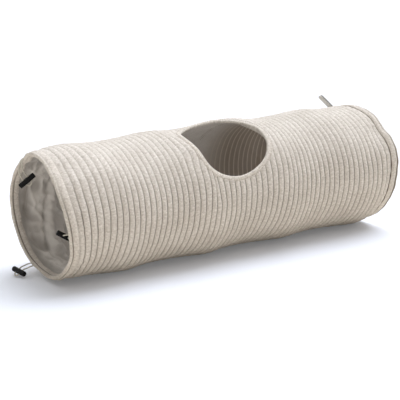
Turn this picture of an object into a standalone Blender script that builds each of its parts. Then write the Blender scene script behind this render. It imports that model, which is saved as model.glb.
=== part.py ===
"""Collapsible cat tunnel: a ribbed cloth tube held open by one long spring of steel wire.

The wire is a single helix with a closed turn at each mouth. It lies in a casing tape between an
outer shell of wide corduroy and a plain lining, and a hem is folded over it at each mouth. A round
peephole opens in the front of the top. Three toggles on elastic loops at the front mouth reach
through three keeper loops on the rear hem and hold the tunnel flat when it is folded away.

+X runs along the tunnel from the front mouth to the rear one, -Y is the side with the peephole and
+Z is up. The origin is on the floor under the middle. Angles round the tunnel are measured from
the top towards -Y. All lengths are in metres.
"""

import math

import bmesh
import bpy
from mathutils import Matrix, Vector

# Overall sizes
TUNNEL_LENGTH = 0.760
TUNNEL_DIAMETER = 0.250
RIM_DRAW_IN = 0.006
FLOOR_CUT = 0.0005

# Cloth
SHELL_CLOTH = 0.0016
WALE_HEIGHT = 0.0022
WALE_COUNT = 60
SHELL_SAG = 0.0045
LINING_CLOTH = 0.0010
LINING_SAG = 0.0014
SAG_POWER = 1.6
PLAIN_ROWS = 26
SHOULDER_ROWS = 3

# Hem at each mouth
HEM_CLOTH = 0.0016
HEM_ROLL = 0.0094
HEM_WIDTH = 0.018
SHOULDER_WIDTH = 0.017
FOLD_STEPS = 5

# Spring wire, counted in steps of one side of the round
WIRE_DIAMETER = 0.0020
CLOSED_PITCH = 0.0026
WIRE_FIRST_STEP = 10.5
CLOSED_STEPS = 25
RAMP_STEPS = 7
FREE_STEPS = 90

# Casing tape, and the crimped sleeves that join the ends of the wire to its next turn
TAPE_CLOTH = 0.0006
TAPE_WIDTH = 0.0084
TAPE_RISE = 0.0014
TAPE_SEAT = 0.0012
SLEEVE_WALL = 0.0005
SLEEVE_LENGTH = 0.012
SLEEVE_END_STEPS = 5

# Peephole
PEEPHOLE_X = -0.0105
PEEPHOLE_ANGLE = math.radians(31.0)
PEEPHOLE_RADIUS = 0.081
PEEPHOLE_HEM = 0.0095
PEEPHOLE_FOLD = 0.0014
PEEPHOLE_EDGE_GAP = 0.0012
PEEPHOLE_SIDES = 32

# Toggles and their elastic loops
TOGGLE_LENGTH = 0.034
TOGGLE_DIAMETER = 0.010
TOGGLE_END_DIAMETER = 0.0072
TOGGLE_GROOVE = 0.0004
TOGGLE_HOLE_SPACING = 0.010
TOGGLE_SIDES = 12
CORD_DIAMETER = 0.0024
CORD_HOLE_GAP = 0.0004
CORD_SPREAD = 0.0080
CORD_REACH = 0.042
CORD_SWEEP_SHARE = 1.2
CORD_SWEEP_STEPS = 8
CORD_BIGHT_STEPS = 6

# For each toggle: name, angle round the rim where its cord leaves, how far that turns from the front
# of the hem towards the bore, the middle of the toggle from there in shares of the reach, and the
# way its length points
TOGGLE_SHARES = (
    ("top", math.radians(330.0), math.radians(45.0), (0.10, -0.17, -0.93), (0.71, -0.32, 0.63)),
    ("side", math.radians(97.5), math.radians(60.0), (0.13, 0.71, -0.15), (0.78, -0.36, -0.51)),
    ("bottom", math.radians(205.0), math.radians(-25.0), (-0.32, 0.11, -0.20), (-0.1, 0.99, 0.1)),
)

# Keeper loops
KEEPER_LENGTH = 0.035
KEEPER_WIDTH = 0.011
KEEPER_THICKNESS = 0.0044
KEEPER_CLOTH = 0.0010
KEEPER_END_STEPS = 4
KEEPER_SEAT = 0.0020

# For each keeper: name, place round the rim in steps, side of the hem, and rise over run
KEEPER_SHARES = (
    ("top", 22, "outside", 1.2),
    ("side", 6, "inside", -0.12),
    ("bottom", 14, "inside", -0.12),
)

# Clearances and resolution
GAP = 0.0004
CASING_GAP = 0.0008
PEEPHOLE_GAP = 0.0006
OVERRUN = 0.010
SEGMENTS = 24
STEP = math.tau / SEGMENTS

# Places along and round the tunnel
HALF_LENGTH = TUNNEL_LENGTH / 2
HEM_EDGE = HALF_LENGTH - HEM_WIDTH
CREST_RADIUS = TUNNEL_DIAMETER / 2
AXIS_HEIGHT = CREST_RADIUS * math.cos(STEP / 2) - FLOOR_CUT

# Radii of the layers, from the outside in, over the wire and in the hem
SHELL_INNER = CREST_RADIUS - WALE_HEIGHT - SHELL_CLOTH
WIRE_PATH = SHELL_INNER - CASING_GAP - TAPE_RISE
TAPE_DEPTH = WIRE_DIAMETER / 2 + GAP + TAPE_CLOTH
LINING_INNER = WIRE_PATH - TAPE_DEPTH - GAP - LINING_CLOTH
RIM_RADIUS = CREST_RADIUS - RIM_DRAW_IN
RIM_INNER = RIM_RADIUS - HEM_ROLL
RIM_MIDDLE = (RIM_RADIUS + RIM_INNER) / 2
SHELL_INNER_AT_RIM = RIM_RADIUS - HEM_CLOTH - GAP - SHELL_CLOTH
LINING_INNER_AT_RIM = RIM_INNER + HEM_CLOTH + GAP
WIRE_PATH_AT_RIM = (SHELL_INNER_AT_RIM + LINING_INNER_AT_RIM + LINING_CLOTH) / 2

# The wire along the tunnel
SLEEVE_RADIUS = WIRE_DIAMETER / 2 + GAP + SLEEVE_WALL
WIRE_START_X = HEM_CLOTH + GAP + SLEEVE_RADIUS - HALF_LENGTH
WIRE_STEPS = 2 * (CLOSED_STEPS + RAMP_STEPS) + FREE_STEPS
RAMP_START_X = WIRE_START_X + CLOSED_PITCH * CLOSED_STEPS / SEGMENTS
LEAD = (-RAMP_START_X * SEGMENTS - CLOSED_PITCH * RAMP_STEPS / 2) / ((FREE_STEPS + RAMP_STEPS) / 2)
CLOTH_EDGE = -(RAMP_START_X + SLEEVE_RADIUS + GAP)

CREAM = (0.60, 0.53, 0.44)
CREAM_HEM = (0.55, 0.48, 0.40)
GREY = (0.25, 0.23, 0.21)
TAPE_GREY = (0.16, 0.15, 0.14)
STEEL = (0.55, 0.55, 0.56)
BLACK = (0.012, 0.011, 0.011)
ELASTIC = (0.62, 0.60, 0.55)
WEBBING = (0.66, 0.66, 0.65)


def clear_scene():
    for old in list(bpy.data.objects):
        bpy.data.objects.remove(old, do_unlink=True)


def make_material(name, colour, roughness, metallic=0.0):
    material = bpy.data.materials.new(name)
    material.use_nodes = True
    shader = material.node_tree.nodes["Principled BSDF"]
    shader.inputs["Base Color"].default_value = (*colour, 1.0)
    shader.inputs["Roughness"].default_value = roughness
    shader.inputs["Metallic"].default_value = metallic
    return material


def finish_mesh(name, bm, material, pivot, parent=None):
    """Turns a bmesh in world places into an object whose origin is its pivot."""
    bmesh.ops.recalc_face_normals(bm, faces=bm.faces)
    mesh = bpy.data.meshes.new(name)
    bm.to_mesh(mesh)
    bm.free()
    mesh.transform(Matrix.Translation(-pivot))
    mesh.shade_smooth()
    mesh.set_sharp_from_angle(angle=math.radians(40.0))
    return link(bpy.data.objects.new(name, mesh), material, pivot, parent)


def link(thing, material, pivot, parent=None):
    bpy.context.collection.objects.link(thing)
    if material:
        thing.data.materials.append(material)
    if parent:
        thing.parent = parent
        thing.location = pivot - parent.location
    else:
        thing.location = pivot
    return thing


def make_pivot(name, place):
    empty = bpy.data.objects.new(name, None)
    bpy.context.collection.objects.link(empty)
    empty.location = place
    return empty


def bridge_rings(bm, rings, joined):
    """Skins a row of rings with quads. When joined, the last ring meets the first one."""
    rows = [[bm.verts.new(point) for point in ring] for ring in rings]
    pairs = list(zip(rows, rows[1:]))
    if joined:
        pairs.append((rows[-1], rows[0]))
    for near, far in pairs:
        for i in range(len(near)):
            j = (i + 1) % len(near)
            bm.faces.new((near[i], near[j], far[j], far[i]))
    return rows


# Shape of the tunnel

def radial(angle):
    return Vector((0.0, -math.sin(angle), math.cos(angle)))


def tangent(angle):
    return Vector((0.0, -math.cos(angle), -math.sin(angle)))


def round_point(x, radius, angle):
    return Vector((x, 0.0, AXIS_HEIGHT)) + radial(angle) * radius


def column_angle(column):
    """Angle of one corner of the round. Half a step off the bottom, so a flat side faces down."""
    return (column + 0.5) * STEP


def smooth_share(share):
    share = min(max(share, 0.0), 1.0)
    return share * share * (3.0 - 2.0 * share)


def layer_radius(x, rim_radius, tube_radius):
    """A layer is drawn in to the hem over the shoulder at each mouth."""
    share = smooth_share((HEM_EDGE - abs(x)) / SHOULDER_WIDTH)
    return rim_radius + (tube_radius - rim_radius) * share


def wire_x(step):
    """Place of the wire along the tunnel: a closed turn, a ramp, the free turns and their mirror."""
    if step > WIRE_STEPS / 2:
        return -wire_x(WIRE_STEPS - step)
    if step <= CLOSED_STEPS:
        return WIRE_START_X + CLOSED_PITCH * step / SEGMENTS
    ramp = step - CLOSED_STEPS
    if ramp <= RAMP_STEPS:
        closed = CLOSED_PITCH * ramp / SEGMENTS
        return RAMP_START_X + closed + (LEAD - CLOSED_PITCH) * ramp ** 2 / (2 * RAMP_STEPS * SEGMENTS)
    return LEAD * (step - WIRE_STEPS / 2) / SEGMENTS


def wire_angle(step):
    return (WIRE_FIRST_STEP + step) * STEP


def wire_radius(x):
    return layer_radius(x, WIRE_PATH_AT_RIM, WIRE_PATH)


def sag_share(x, angle):
    """Share of the full sag: none over the wire, all of it midway between two free turns."""
    step = (angle / STEP - WIRE_FIRST_STEP) % SEGMENTS
    crossings = []
    while step <= WIRE_STEPS:
        crossings.append(wire_x(step))
        step += SEGMENTS
    for before, after in zip(crossings, crossings[1:]):
        if before < x < after:
            slack = min((after - before) / LEAD, 1.0)
            return slack * math.sin(math.pi * (x - before) / (after - before)) ** SAG_POWER
    return 0.0


def shell_inner(x, angle):
    return layer_radius(x, SHELL_INNER_AT_RIM, SHELL_INNER) - SHELL_SAG * sag_share(x, angle)


def shell_groove(x, angle):
    return shell_inner(x, angle) + SHELL_CLOTH


def shell_crest(x, angle):
    return shell_groove(x, angle) + WALE_HEIGHT


def lining_inner(x, angle):
    return layer_radius(x, LINING_INNER_AT_RIM, LINING_INNER) - LINING_SAG * sag_share(x, angle)


def lining_outer(x, angle):
    return lining_inner(x, angle) + LINING_CLOTH


def ring(x, radius_at):
    angles = [column_angle(column) for column in range(SEGMENTS)]
    return [round_point(x, radius_at(x, angle), angle) for angle in angles]


def spread(start, end, count):
    return [start + (end - start) * i / count for i in range(count + 1)]


# Cloth pieces

def plain_rows():
    """Rows of points on a plain side of the cloth: close together over the shoulders."""
    full = HEM_EDGE - SHOULDER_WIDTH
    front = spread(-HEM_EDGE, -full, SHOULDER_ROWS)
    middle = spread(-full, full, PLAIN_ROWS)[1:-1]
    return [-CLOTH_EDGE] + front + middle + [-x for x in reversed(front)] + [CLOTH_EDGE]


def make_shell(material, cutters):
    """The corduroy shell. Each wale is one crest between two grooves, and it runs round the tunnel."""
    grooves = spread(-HEM_EDGE, HEM_EDGE, WALE_COUNT)
    rings = [ring(-CLOTH_EDGE, shell_groove)]
    for before, after in zip(grooves, grooves[1:]):
        rings.append(ring(before, shell_groove))
        rings.append(ring((before + after) / 2, shell_crest))
    rings.append(ring(HEM_EDGE, shell_groove))
    rings.append(ring(CLOTH_EDGE, shell_groove))
    rings += [ring(x, shell_inner) for x in reversed(plain_rows())]
    bm = bmesh.new()
    bridge_rings(bm, rings, joined=True)
    shell = finish_mesh("outer_shell", bm, material, Vector((0.0, 0.0, AXIS_HEIGHT)))
    cut_with(shell, cutters)
    return shell


def make_lining(material, cutters):
    rings = [ring(x, lining_outer) for x in plain_rows()]
    rings += [ring(x, lining_inner) for x in reversed(plain_rows())]
    bm = bmesh.new()
    bridge_rings(bm, rings, joined=True)
    lining = finish_mesh("lining", bm, material, Vector((0.0, 0.0, AXIS_HEIGHT)))
    cut_with(lining, cutters)
    return lining


def make_hem(name, side, material):
    """A hem folded over the closed turn of the wire. Its section is a U that opens inwards."""
    roll = HEM_ROLL / 2
    turns = spread(0.0, math.pi, FOLD_STEPS)
    outer = [(roll - roll * math.sin(t), RIM_MIDDLE + roll * math.cos(t)) for t in turns]
    bore = roll - HEM_CLOTH
    inner = [(roll - bore * math.sin(t), RIM_MIDDLE + bore * math.cos(t)) for t in reversed(turns)]
    profile = [(HEM_WIDTH, RIM_RADIUS)] + outer + [(HEM_WIDTH, RIM_INNER)]
    profile += [(HEM_WIDTH, RIM_INNER + HEM_CLOTH)] + inner + [(HEM_WIDTH, RIM_RADIUS - HEM_CLOTH)]
    rings = [ring(side * (HALF_LENGTH - depth), lambda x, angle, r=radius: r) for depth, radius in profile]
    bm = bmesh.new()
    bridge_rings(bm, rings, joined=True)
    return finish_mesh(name, bm, material, Vector((side * HALF_LENGTH, 0.0, AXIS_HEIGHT)))


# Spring wire, its casing and its sleeves

def make_wire(material):
    points = []
    for step in range(WIRE_STEPS + 1):
        x = wire_x(step)
        points.append(round_point(x, wire_radius(x), wire_angle(step)))
    middle = Vector((0.0, 0.0, AXIS_HEIGHT))
    wire = make_tube("spring_wire", [point - middle for point in points], WIRE_DIAMETER, 1)
    print("least gap between turns of the wire, m:", round(least_gap(points, WIRE_DIAMETER), 5))
    return link(wire, material, middle)


def make_tube(name, points, diameter, resolution):
    curve = bpy.data.curves.new(name, "CURVE")
    curve.dimensions = "3D"
    curve.bevel_depth = diameter / 2
    curve.bevel_resolution = resolution
    curve.use_fill_caps = True
    spline = curve.splines.new("POLY")
    spline.points.add(len(points) - 1)
    for point, place in zip(spline.points, points):
        point.co = (*place, 1.0)
    return bpy.data.objects.new(name, curve)


def least_gap(points, diameter):
    """Least distance between the turns of a coil, measured between points half a turn or more apart."""
    least = TUNNEL_LENGTH
    for i, point in enumerate(points):
        for other in points[i + SEGMENTS // 2:]:
            least = min(least, (other - point).length)
    return least - diameter


def make_casing(material):
    """A tape that wraps the wire from the inside and is sewn to the shell along both edges."""
    half = WIRE_DIAMETER / 2 + GAP
    edge = TAPE_WIDTH / 2
    section = [(-edge, TAPE_RISE), (-TAPE_SEAT, -half), (TAPE_SEAT, -half), (edge, TAPE_RISE)]
    section += [(across, height - TAPE_CLOTH) for across, height in reversed(section)]
    covered = HEM_EDGE - SHOULDER_WIDTH
    rings = []
    for step in range(WIRE_STEPS + 1):
        x = wire_x(step)
        if abs(x) < covered:
            centre = round_point(x, wire_radius(x), wire_angle(step))
            up = radial(wire_angle(step))
            along = Vector((LEAD / math.tau, 0.0, 0.0)) + tangent(wire_angle(step)) * WIRE_PATH
            side = along.cross(up).normalized()
            rings.append([centre + side * across + up * height for across, height in section])
    bm = bmesh.new()
    rows = bridge_rings(bm, rings, joined=False)
    bm.faces.new(rows[0])
    bm.faces.new(rows[-1])
    return finish_mesh("wire_casing", bm, material, Vector((0.0, 0.0, AXIS_HEIGHT)))


def racetrack(half_length, radius, steps):
    """An outline with two straight sides and two round ends, centred on its middle."""
    right = [(half_length + radius * math.sin(t), radius * math.cos(t)) for t in spread(0.0, math.pi, steps)]
    left = [(-across, -height) for across, height in right]
    return right + left


def make_sleeve(name, first_step, material, parent=None):
    """An oval sleeve pressed round the end of the wire and the turn that lies beside it."""
    middle_step = first_step + 0.5
    angle = wire_angle(middle_step)
    next_step = middle_step + SEGMENTS if middle_step < WIRE_STEPS / 2 else middle_step - SEGMENTS
    x = (wire_x(middle_step) + wire_x(next_step)) / 2
    centre = round_point(x, WIRE_PATH_AT_RIM * math.cos(STEP / 2), angle)
    apart = CLOSED_PITCH / 2
    outer = racetrack(apart, SLEEVE_RADIUS, SLEEVE_END_STEPS)
    bore = racetrack(apart, SLEEVE_RADIUS - SLEEVE_WALL, SLEEVE_END_STEPS)
    rings = []
    for outline, ends in ((outer, (-0.5, 0.5)), (bore, (0.5, -0.5))):
        for end in ends:
            along = tangent(angle) * (SLEEVE_LENGTH * end)
            rings.append([centre + along + Vector((u, 0.0, 0.0)) + radial(angle) * v for u, v in outline])
    bm = bmesh.new()
    bridge_rings(bm, rings, joined=True)
    return finish_mesh(name, bm, material, centre, parent)


# Peephole

def hole_point(flat_radius, turn, height):
    """A point round the peephole, whose circle is drawn on the cloth before it is rolled up."""
    x = PEEPHOLE_X + flat_radius * math.cos(turn)
    angle = PEEPHOLE_ANGLE + flat_radius * math.sin(turn) / CREST_RADIUS
    return x, angle, height


def make_hole_cutter():
    """A plug with flat ends and walls that point at the axis, as wide as the hole in the cloth."""
    flat_radius = PEEPHOLE_RADIUS + HEM_CLOTH + PEEPHOLE_EDGE_GAP
    widest = flat_radius / CREST_RADIUS
    turns = [math.tau * i / PEEPHOLE_SIDES for i in range(PEEPHOLE_SIDES)]
    rings = []
    low_plane = (LINING_INNER - LINING_SAG) * math.cos(widest) - OVERRUN
    for plane in (low_plane, CREST_RADIUS + OVERRUN):
        row = []
        for turn in turns:
            x, angle, radius = hole_point(flat_radius, turn, plane)
            row.append(round_point(x, radius / math.cos(angle - PEEPHOLE_ANGLE), angle))
        rings.append(row)
    bm = bmesh.new()
    rows = bridge_rings(bm, rings, joined=False)
    bm.faces.new(rows[0])
    bm.faces.new(rows[1])
    cutter = finish_mesh("peephole_cutter", bm, None, Vector((PEEPHOLE_X, 0.0, AXIS_HEIGHT)))
    hide_cutter(cutter)
    return cutter


def make_floor_cutter():
    """A block under the floor. It takes the undersides of the lowest ribs off flat."""
    bm = bmesh.new()
    bmesh.ops.create_cube(bm, size=1.0)
    size = (TUNNEL_LENGTH, TUNNEL_DIAMETER, OVERRUN)
    bmesh.ops.scale(bm, vec=size, verts=bm.verts)
    bmesh.ops.translate(bm, vec=(0.0, 0.0, -OVERRUN / 2), verts=bm.verts)
    cutter = finish_mesh("floor_cutter", bm, None, Vector((0.0, 0.0, 0.0)))
    hide_cutter(cutter)
    return cutter


def hide_cutter(cutter):
    cutter.hide_render = True
    cutter.display_type = "WIRE"


def cut_with(thing, cutters):
    for cutter in cutters:
        cut = thing.modifiers.new(cutter.name, "BOOLEAN")
        cut.operation = "DIFFERENCE"
        cut.object = cutter


def make_peephole_hem(material):
    """A U of cloth that grips the edge of the shell and the lining all round the peephole."""
    inner_edge = PEEPHOLE_RADIUS
    outer_edge = PEEPHOLE_RADIUS + PEEPHOLE_HEM
    rings = []
    for i in range(PEEPHOLE_SIDES):
        turn = math.tau * i / PEEPHOLE_SIDES
        section = []
        for flat_radius, on_top, depth in (
            (outer_edge, True, HEM_CLOTH),
            (inner_edge, True, HEM_CLOTH),
            (inner_edge - PEEPHOLE_FOLD, True, -PEEPHOLE_FOLD),
            (inner_edge - PEEPHOLE_FOLD, False, -PEEPHOLE_FOLD),
            (inner_edge, False, HEM_CLOTH),
            (outer_edge, False, HEM_CLOTH),
            (outer_edge, False, 0.0),
            (inner_edge + HEM_CLOTH, False, 0.0),
            (inner_edge + HEM_CLOTH, True, 0.0),
            (outer_edge, True, 0.0),
        ):
            x, angle, height = hole_point(flat_radius, turn, depth)
            top = shell_crest(x, angle) + PEEPHOLE_GAP + height
            under = lining_inner(x, angle) * math.cos(STEP / 2) - PEEPHOLE_GAP - height
            section.append(round_point(x, top if on_top else under, angle))
        rings.append(section)
    bm = bmesh.new()
    bridge_rings(bm, rings, joined=True)
    return finish_mesh("peephole_binding", bm, material, round_point(PEEPHOLE_X, CREST_RADIUS, PEEPHOLE_ANGLE))


# Toggles on elastic loops

def make_toggle(name, centre, along, through, material, parent):
    """A grooved barrel, turned about its length, with two holes side by side for the elastic."""
    end_share = 0.93
    groove_shares = (0.42, 0.52, 0.62, 0.72, 0.82)
    half = TOGGLE_LENGTH / 2
    barrel = TOGGLE_DIAMETER / 2
    profile = [(half, TOGGLE_END_DIAMETER / 2), (half * end_share, barrel)]
    for number, share in enumerate(reversed(groove_shares)):
        profile.append((half * share, barrel - TOGGLE_GROOVE if number % 2 == 0 else barrel))
    profile += [(-place, radius) for place, radius in reversed(profile)]
    side = along.cross(through)
    rings = []
    for place, radius in profile:
        row = []
        for i in range(TOGGLE_SIDES):
            turn = math.tau * i / TOGGLE_SIDES
            row.append(centre + along * place + (through * math.cos(turn) + side * math.sin(turn)) * radius)
        rings.append(row)
    bm = bmesh.new()
    rows = bridge_rings(bm, rings, joined=False)
    bm.faces.new(rows[0])
    bm.faces.new(rows[-1])
    toggle = finish_mesh(name, bm, material, centre, parent)
    cut_with(toggle, [make_cord_drill(name, centre, along, through, side_of) for side_of in (-0.5, 0.5)])
    return toggle


def make_cord_drill(name, centre, along, through, side_of):
    bm = bmesh.new()
    radius = CORD_DIAMETER / 2 + CORD_HOLE_GAP
    depth = TOGGLE_DIAMETER + OVERRUN
    bmesh.ops.create_cone(
        bm, segments=TOGGLE_SIDES, radius1=radius, radius2=radius, depth=depth, cap_ends=True
    )
    turn = Vector((0.0, 0.0, 1.0)).rotation_difference(through).to_matrix().to_4x4()
    place = centre + along * (TOGGLE_HOLE_SPACING * side_of)
    bm.transform(Matrix.Translation(place) @ turn)
    drill = finish_mesh(f"{name}_drill", bm, None, place)
    hide_cutter(drill)
    return drill


def hem_exit(angle, lean):
    """A place just off the fold of the front hem, and the way straight out of the fold there."""
    beside = (angle + STEP / 2) % STEP - STEP / 2
    roll = HEM_ROLL / 2
    fold = round_point(roll - HALF_LENGTH, RIM_MIDDLE * math.cos(STEP / 2) / math.cos(beside), angle)
    outwards = Vector((-math.cos(lean), 0.0, 0.0)) - radial(angle) * math.sin(lean)
    return fold + outwards * (roll + GAP), outwards


def sweep(start, leaving, end, arriving):
    """Points of a smooth bend from one place to another, with the way it points at each end."""
    reach = (end - start).length * CORD_SWEEP_SHARE
    points = [start]
    for number in range(1, CORD_SWEEP_STEPS + 1):
        t = number / CORD_SWEEP_STEPS
        leave = leaving * (reach * (t ** 3 - 2 * t ** 2 + t))
        arrive = arriving * (reach * (t ** 3 - t ** 2))
        points.append(start * (2 * t ** 3 - 3 * t ** 2 + 1) + leave + end * (3 * t ** 2 - 2 * t ** 3) + arrive)
    return points


def make_elastic(name, leaving_angle, lean, centre, along, through, material, parent):
    """One elastic cord, sewn in at both ends: out, through the toggle, round and back again."""
    strands = []
    for side_of in (-0.5, 0.5):
        start, outwards = hem_exit(leaving_angle + CORD_SPREAD * side_of / RIM_MIDDLE, lean)
        hole = centre + along * (TOGGLE_HOLE_SPACING * side_of) + through * (TOGGLE_DIAMETER / 2)
        strands.append(sweep(start, outwards, hole, -through))
    back = centre - through * (TOGGLE_DIAMETER / 2)
    bight = []
    for turn in spread(0.0, math.pi, CORD_BIGHT_STEPS):
        bight.append(back - (along * math.cos(turn) + through * math.sin(turn)) * (TOGGLE_HOLE_SPACING / 2))
    points = strands[0] + bight + strands[1][::-1]
    pivot = parent.location
    cord = make_tube(name, [point - pivot for point in points], CORD_DIAMETER, 2)
    return link(cord, material, pivot, parent)


# Keeper loops on the rear hem

def make_keeper(name, pivot, out, lean, material):
    """A strap folded into a flat loop and sewn down at one end, which is round about its hinge."""
    bore = KEEPER_THICKNESS / 2 - KEEPER_CLOTH
    half = (KEEPER_LENGTH - KEEPER_THICKNESS) / 2
    outlines = [racetrack(half, KEEPER_THICKNESS / 2, KEEPER_END_STEPS), racetrack(half, bore, KEEPER_END_STEPS)]
    across = out.cross(lean)
    parent = make_pivot(f"{name}_hinge", pivot)
    rings = []
    for outline, ends in zip(outlines, ((-0.5, 0.5), (0.5, -0.5))):
        for end in ends:
            middle = pivot + lean * half + across * (KEEPER_WIDTH * end)
            rings.append([middle + lean * u + out * v for u, v in outline])
    bm = bmesh.new()
    bridge_rings(bm, rings, joined=True)
    return finish_mesh(name, bm, material, pivot, parent)


def build():
    clear_scene()
    corduroy = make_material("cream_corduroy", CREAM, 0.9)
    hem_cloth = make_material("cream_hem", CREAM_HEM, 0.9)
    lining_cloth = make_material("grey_lining", GREY, 0.85)
    tape = make_material("casing_tape", TAPE_GREY, 0.85)
    steel = make_material("spring_steel", STEEL, 0.35, 1.0)
    sleeve_steel = make_material("sleeve_steel", STEEL, 0.45, 1.0)
    black = make_material("black_plastic", BLACK, 0.4)
    elastic = make_material("pale_elastic", ELASTIC, 0.8)
    webbing = make_material("pale_webbing", WEBBING, 0.8)

    hole = make_hole_cutter()
    floor = make_floor_cutter()
    make_shell(corduroy, [hole, floor])
    make_lining(lining_cloth, [hole])
    make_wire(steel)
    make_casing(tape)
    make_peephole_hem(hem_cloth)
    make_hem("front_rim_binding", -1, hem_cloth)
    make_sleeve("front_wire_sleeve", 0, sleeve_steel)

    rear_end = make_pivot("rear_end_slide", Vector((HALF_LENGTH, 0.0, AXIS_HEIGHT)))
    rear_hem = make_hem("rear_rim_binding", 1, hem_cloth)
    rear_hem.parent = rear_end
    rear_hem.location = (0.0, 0.0, 0.0)
    make_sleeve("rear_wire_sleeve", WIRE_STEPS - 1, sleeve_steel, rear_end)

    for place, leaving_angle, lean, reach_shares, lies in TOGGLE_SHARES:
        pivot, outwards = hem_exit(leaving_angle, lean)
        swing = make_pivot(f"toggle_{place}_swing", pivot)
        centre = pivot + Vector(reach_shares) * CORD_REACH
        along = Vector(lies).normalized()
        back = pivot - centre
        through = (back - along * back.dot(along)).normalized()
        make_elastic(f"toggle_cord_{place}", leaving_angle, lean, centre, along, through, elastic, swing)
        make_toggle(f"toggle_{place}", centre, along, through, black, swing)

    lift = GAP + KEEPER_THICKNESS / 2
    seats = {
        "outside": RIM_RADIUS * math.cos(STEP / 2) + lift,
        "inside": RIM_INNER * math.cos(STEP / 2) - lift,
    }
    for place, steps_round, side_of_hem, rise_share in KEEPER_SHARES:
        angle = steps_round * STEP
        pivot = round_point(HEM_EDGE + KEEPER_SEAT, seats[side_of_hem], angle)
        lean = (radial(angle) * rise_share + Vector((-1.0, 0.0, 0.0))).normalized()
        out = lean.cross(tangent(angle)).normalized()
        make_keeper(f"keeper_{place}", pivot, out, lean, webbing)


build()
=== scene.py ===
# %% [markdown]
# # A pop-open cat tunnel
#
# The tunnel is a tube of cream corduroy, held open by one long spring of steel wire. It has a hole to
# peep out of, a grey lining, and three black toggles on elastic loops at the near mouth. The plain
# model of it is already packed as a frame. This lesson dresses that frame: each soft piece is worked
# out again as a fine surface, and each material is built from nodes.
#
# All lengths are in metres. +X runs along the tunnel from the near mouth, -Y is the side that the
# hole leans to, +Z is up, and the floor is at zero. Angles go round the tunnel from the top towards -Y.

import bmesh
import bpy
import numpy as np
from mathutils import Matrix, Vector


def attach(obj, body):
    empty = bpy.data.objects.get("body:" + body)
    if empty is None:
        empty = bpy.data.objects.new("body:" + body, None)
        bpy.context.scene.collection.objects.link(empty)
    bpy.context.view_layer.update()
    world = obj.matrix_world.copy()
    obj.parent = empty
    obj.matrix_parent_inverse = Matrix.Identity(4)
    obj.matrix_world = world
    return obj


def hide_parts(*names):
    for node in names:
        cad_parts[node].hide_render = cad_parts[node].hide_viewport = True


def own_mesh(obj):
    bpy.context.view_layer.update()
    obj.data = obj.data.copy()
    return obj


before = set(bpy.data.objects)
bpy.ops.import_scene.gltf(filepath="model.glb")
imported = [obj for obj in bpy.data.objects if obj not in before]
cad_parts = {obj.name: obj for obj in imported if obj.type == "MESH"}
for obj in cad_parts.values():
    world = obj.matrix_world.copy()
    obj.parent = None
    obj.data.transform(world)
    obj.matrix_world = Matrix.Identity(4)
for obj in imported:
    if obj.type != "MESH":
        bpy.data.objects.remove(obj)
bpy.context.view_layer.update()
print("nodes:", len(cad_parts))


def add_object(name, data):
    """Puts a mesh, a curve, a lamp or a camera into the scene."""
    made = bpy.data.objects.new(name, data)
    bpy.context.collection.objects.link(made)
    return made

# %% [markdown]
# ## Camera
#
# A camera can be placed by eye, but here it was worked out from the photograph: the two rims, the
# outline and the hole fix where it stood. It is 2.8 m away with a long lens, turned 36 degrees
# along the tunnel and looking 14 degrees down.

# %% Camera
CAMERA_PLACE = Vector((-1.645, -2.218, 0.803))
CAMERA_TURN = np.radians(35.9)
CAMERA_DOWN = np.radians(14.4)
SENSOR_WIDTH = 36.0
FOCAL_PIXELS = 1469.0
PICTURE_PIXELS = 400.0
PICTURE_SHIFT = (0.018, 0.00375)
FARTHEST_SEEN = 50.0

camera_data = bpy.data.cameras.new("photo_camera")
camera_data.sensor_width = SENSOR_WIDTH
camera_data.lens = FOCAL_PIXELS * SENSOR_WIDTH / PICTURE_PIXELS
camera_data.shift_x, camera_data.shift_y = PICTURE_SHIFT
camera_data.clip_end = FARTHEST_SEEN
camera = add_object("photo_camera", camera_data)
camera.location = CAMERA_PLACE
camera.rotation_euler = (np.pi / 2 - CAMERA_DOWN, 0.0, -CAMERA_TURN)
bpy.context.scene.camera = camera
print("lens, mm:", round(camera_data.lens, 1))

# %% [markdown]
# ## The sizes that everything follows
#
# The wire is one helix with a closed turn at each mouth. The cloth hangs on it, so every cloth piece
# asks the same question: how far round is this point from the wire? These values repeat the ones of
# the plain model.

# %% Sizes
HALF_LENGTH = 0.380
HEM_EDGE = 0.362
AXIS_HEIGHT = 0.12343
CREST_RADIUS = 0.125
RIM_RADIUS = 0.119
RIM_INNER = 0.1096
RIM_MIDDLE = (RIM_RADIUS + RIM_INNER) / 2
SHOULDER_WIDTH = 0.017
WALE_COUNT = 60
WALE_PITCH = 2 * HEM_EDGE / WALE_COUNT
TURN = 2 * np.pi

WIRE_DIAMETER = 0.0020
WIRE_PATH = 0.1190
WIRE_PATH_AT_RIM = 0.1140
WIRE_START_X = -0.3761
CLOSED_PITCH = 0.0026
FIRST_TURN_SHARE = 10.5 / 24
CLOSED_TURNS = 25 / 24
RAMP_TURNS = 7 / 24
FREE_TURNS = 90 / 24
ALL_TURNS = 2 * (CLOSED_TURNS + RAMP_TURNS) + FREE_TURNS
RAMP_START_X = WIRE_START_X + CLOSED_PITCH * CLOSED_TURNS
LEAD = (-RAMP_START_X - CLOSED_PITCH * RAMP_TURNS / 2) / ((FREE_TURNS + RAMP_TURNS) / 2)
print("one free turn takes", round(LEAD, 4), "m of tunnel")

# %% The wire's place along the tunnel


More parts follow.
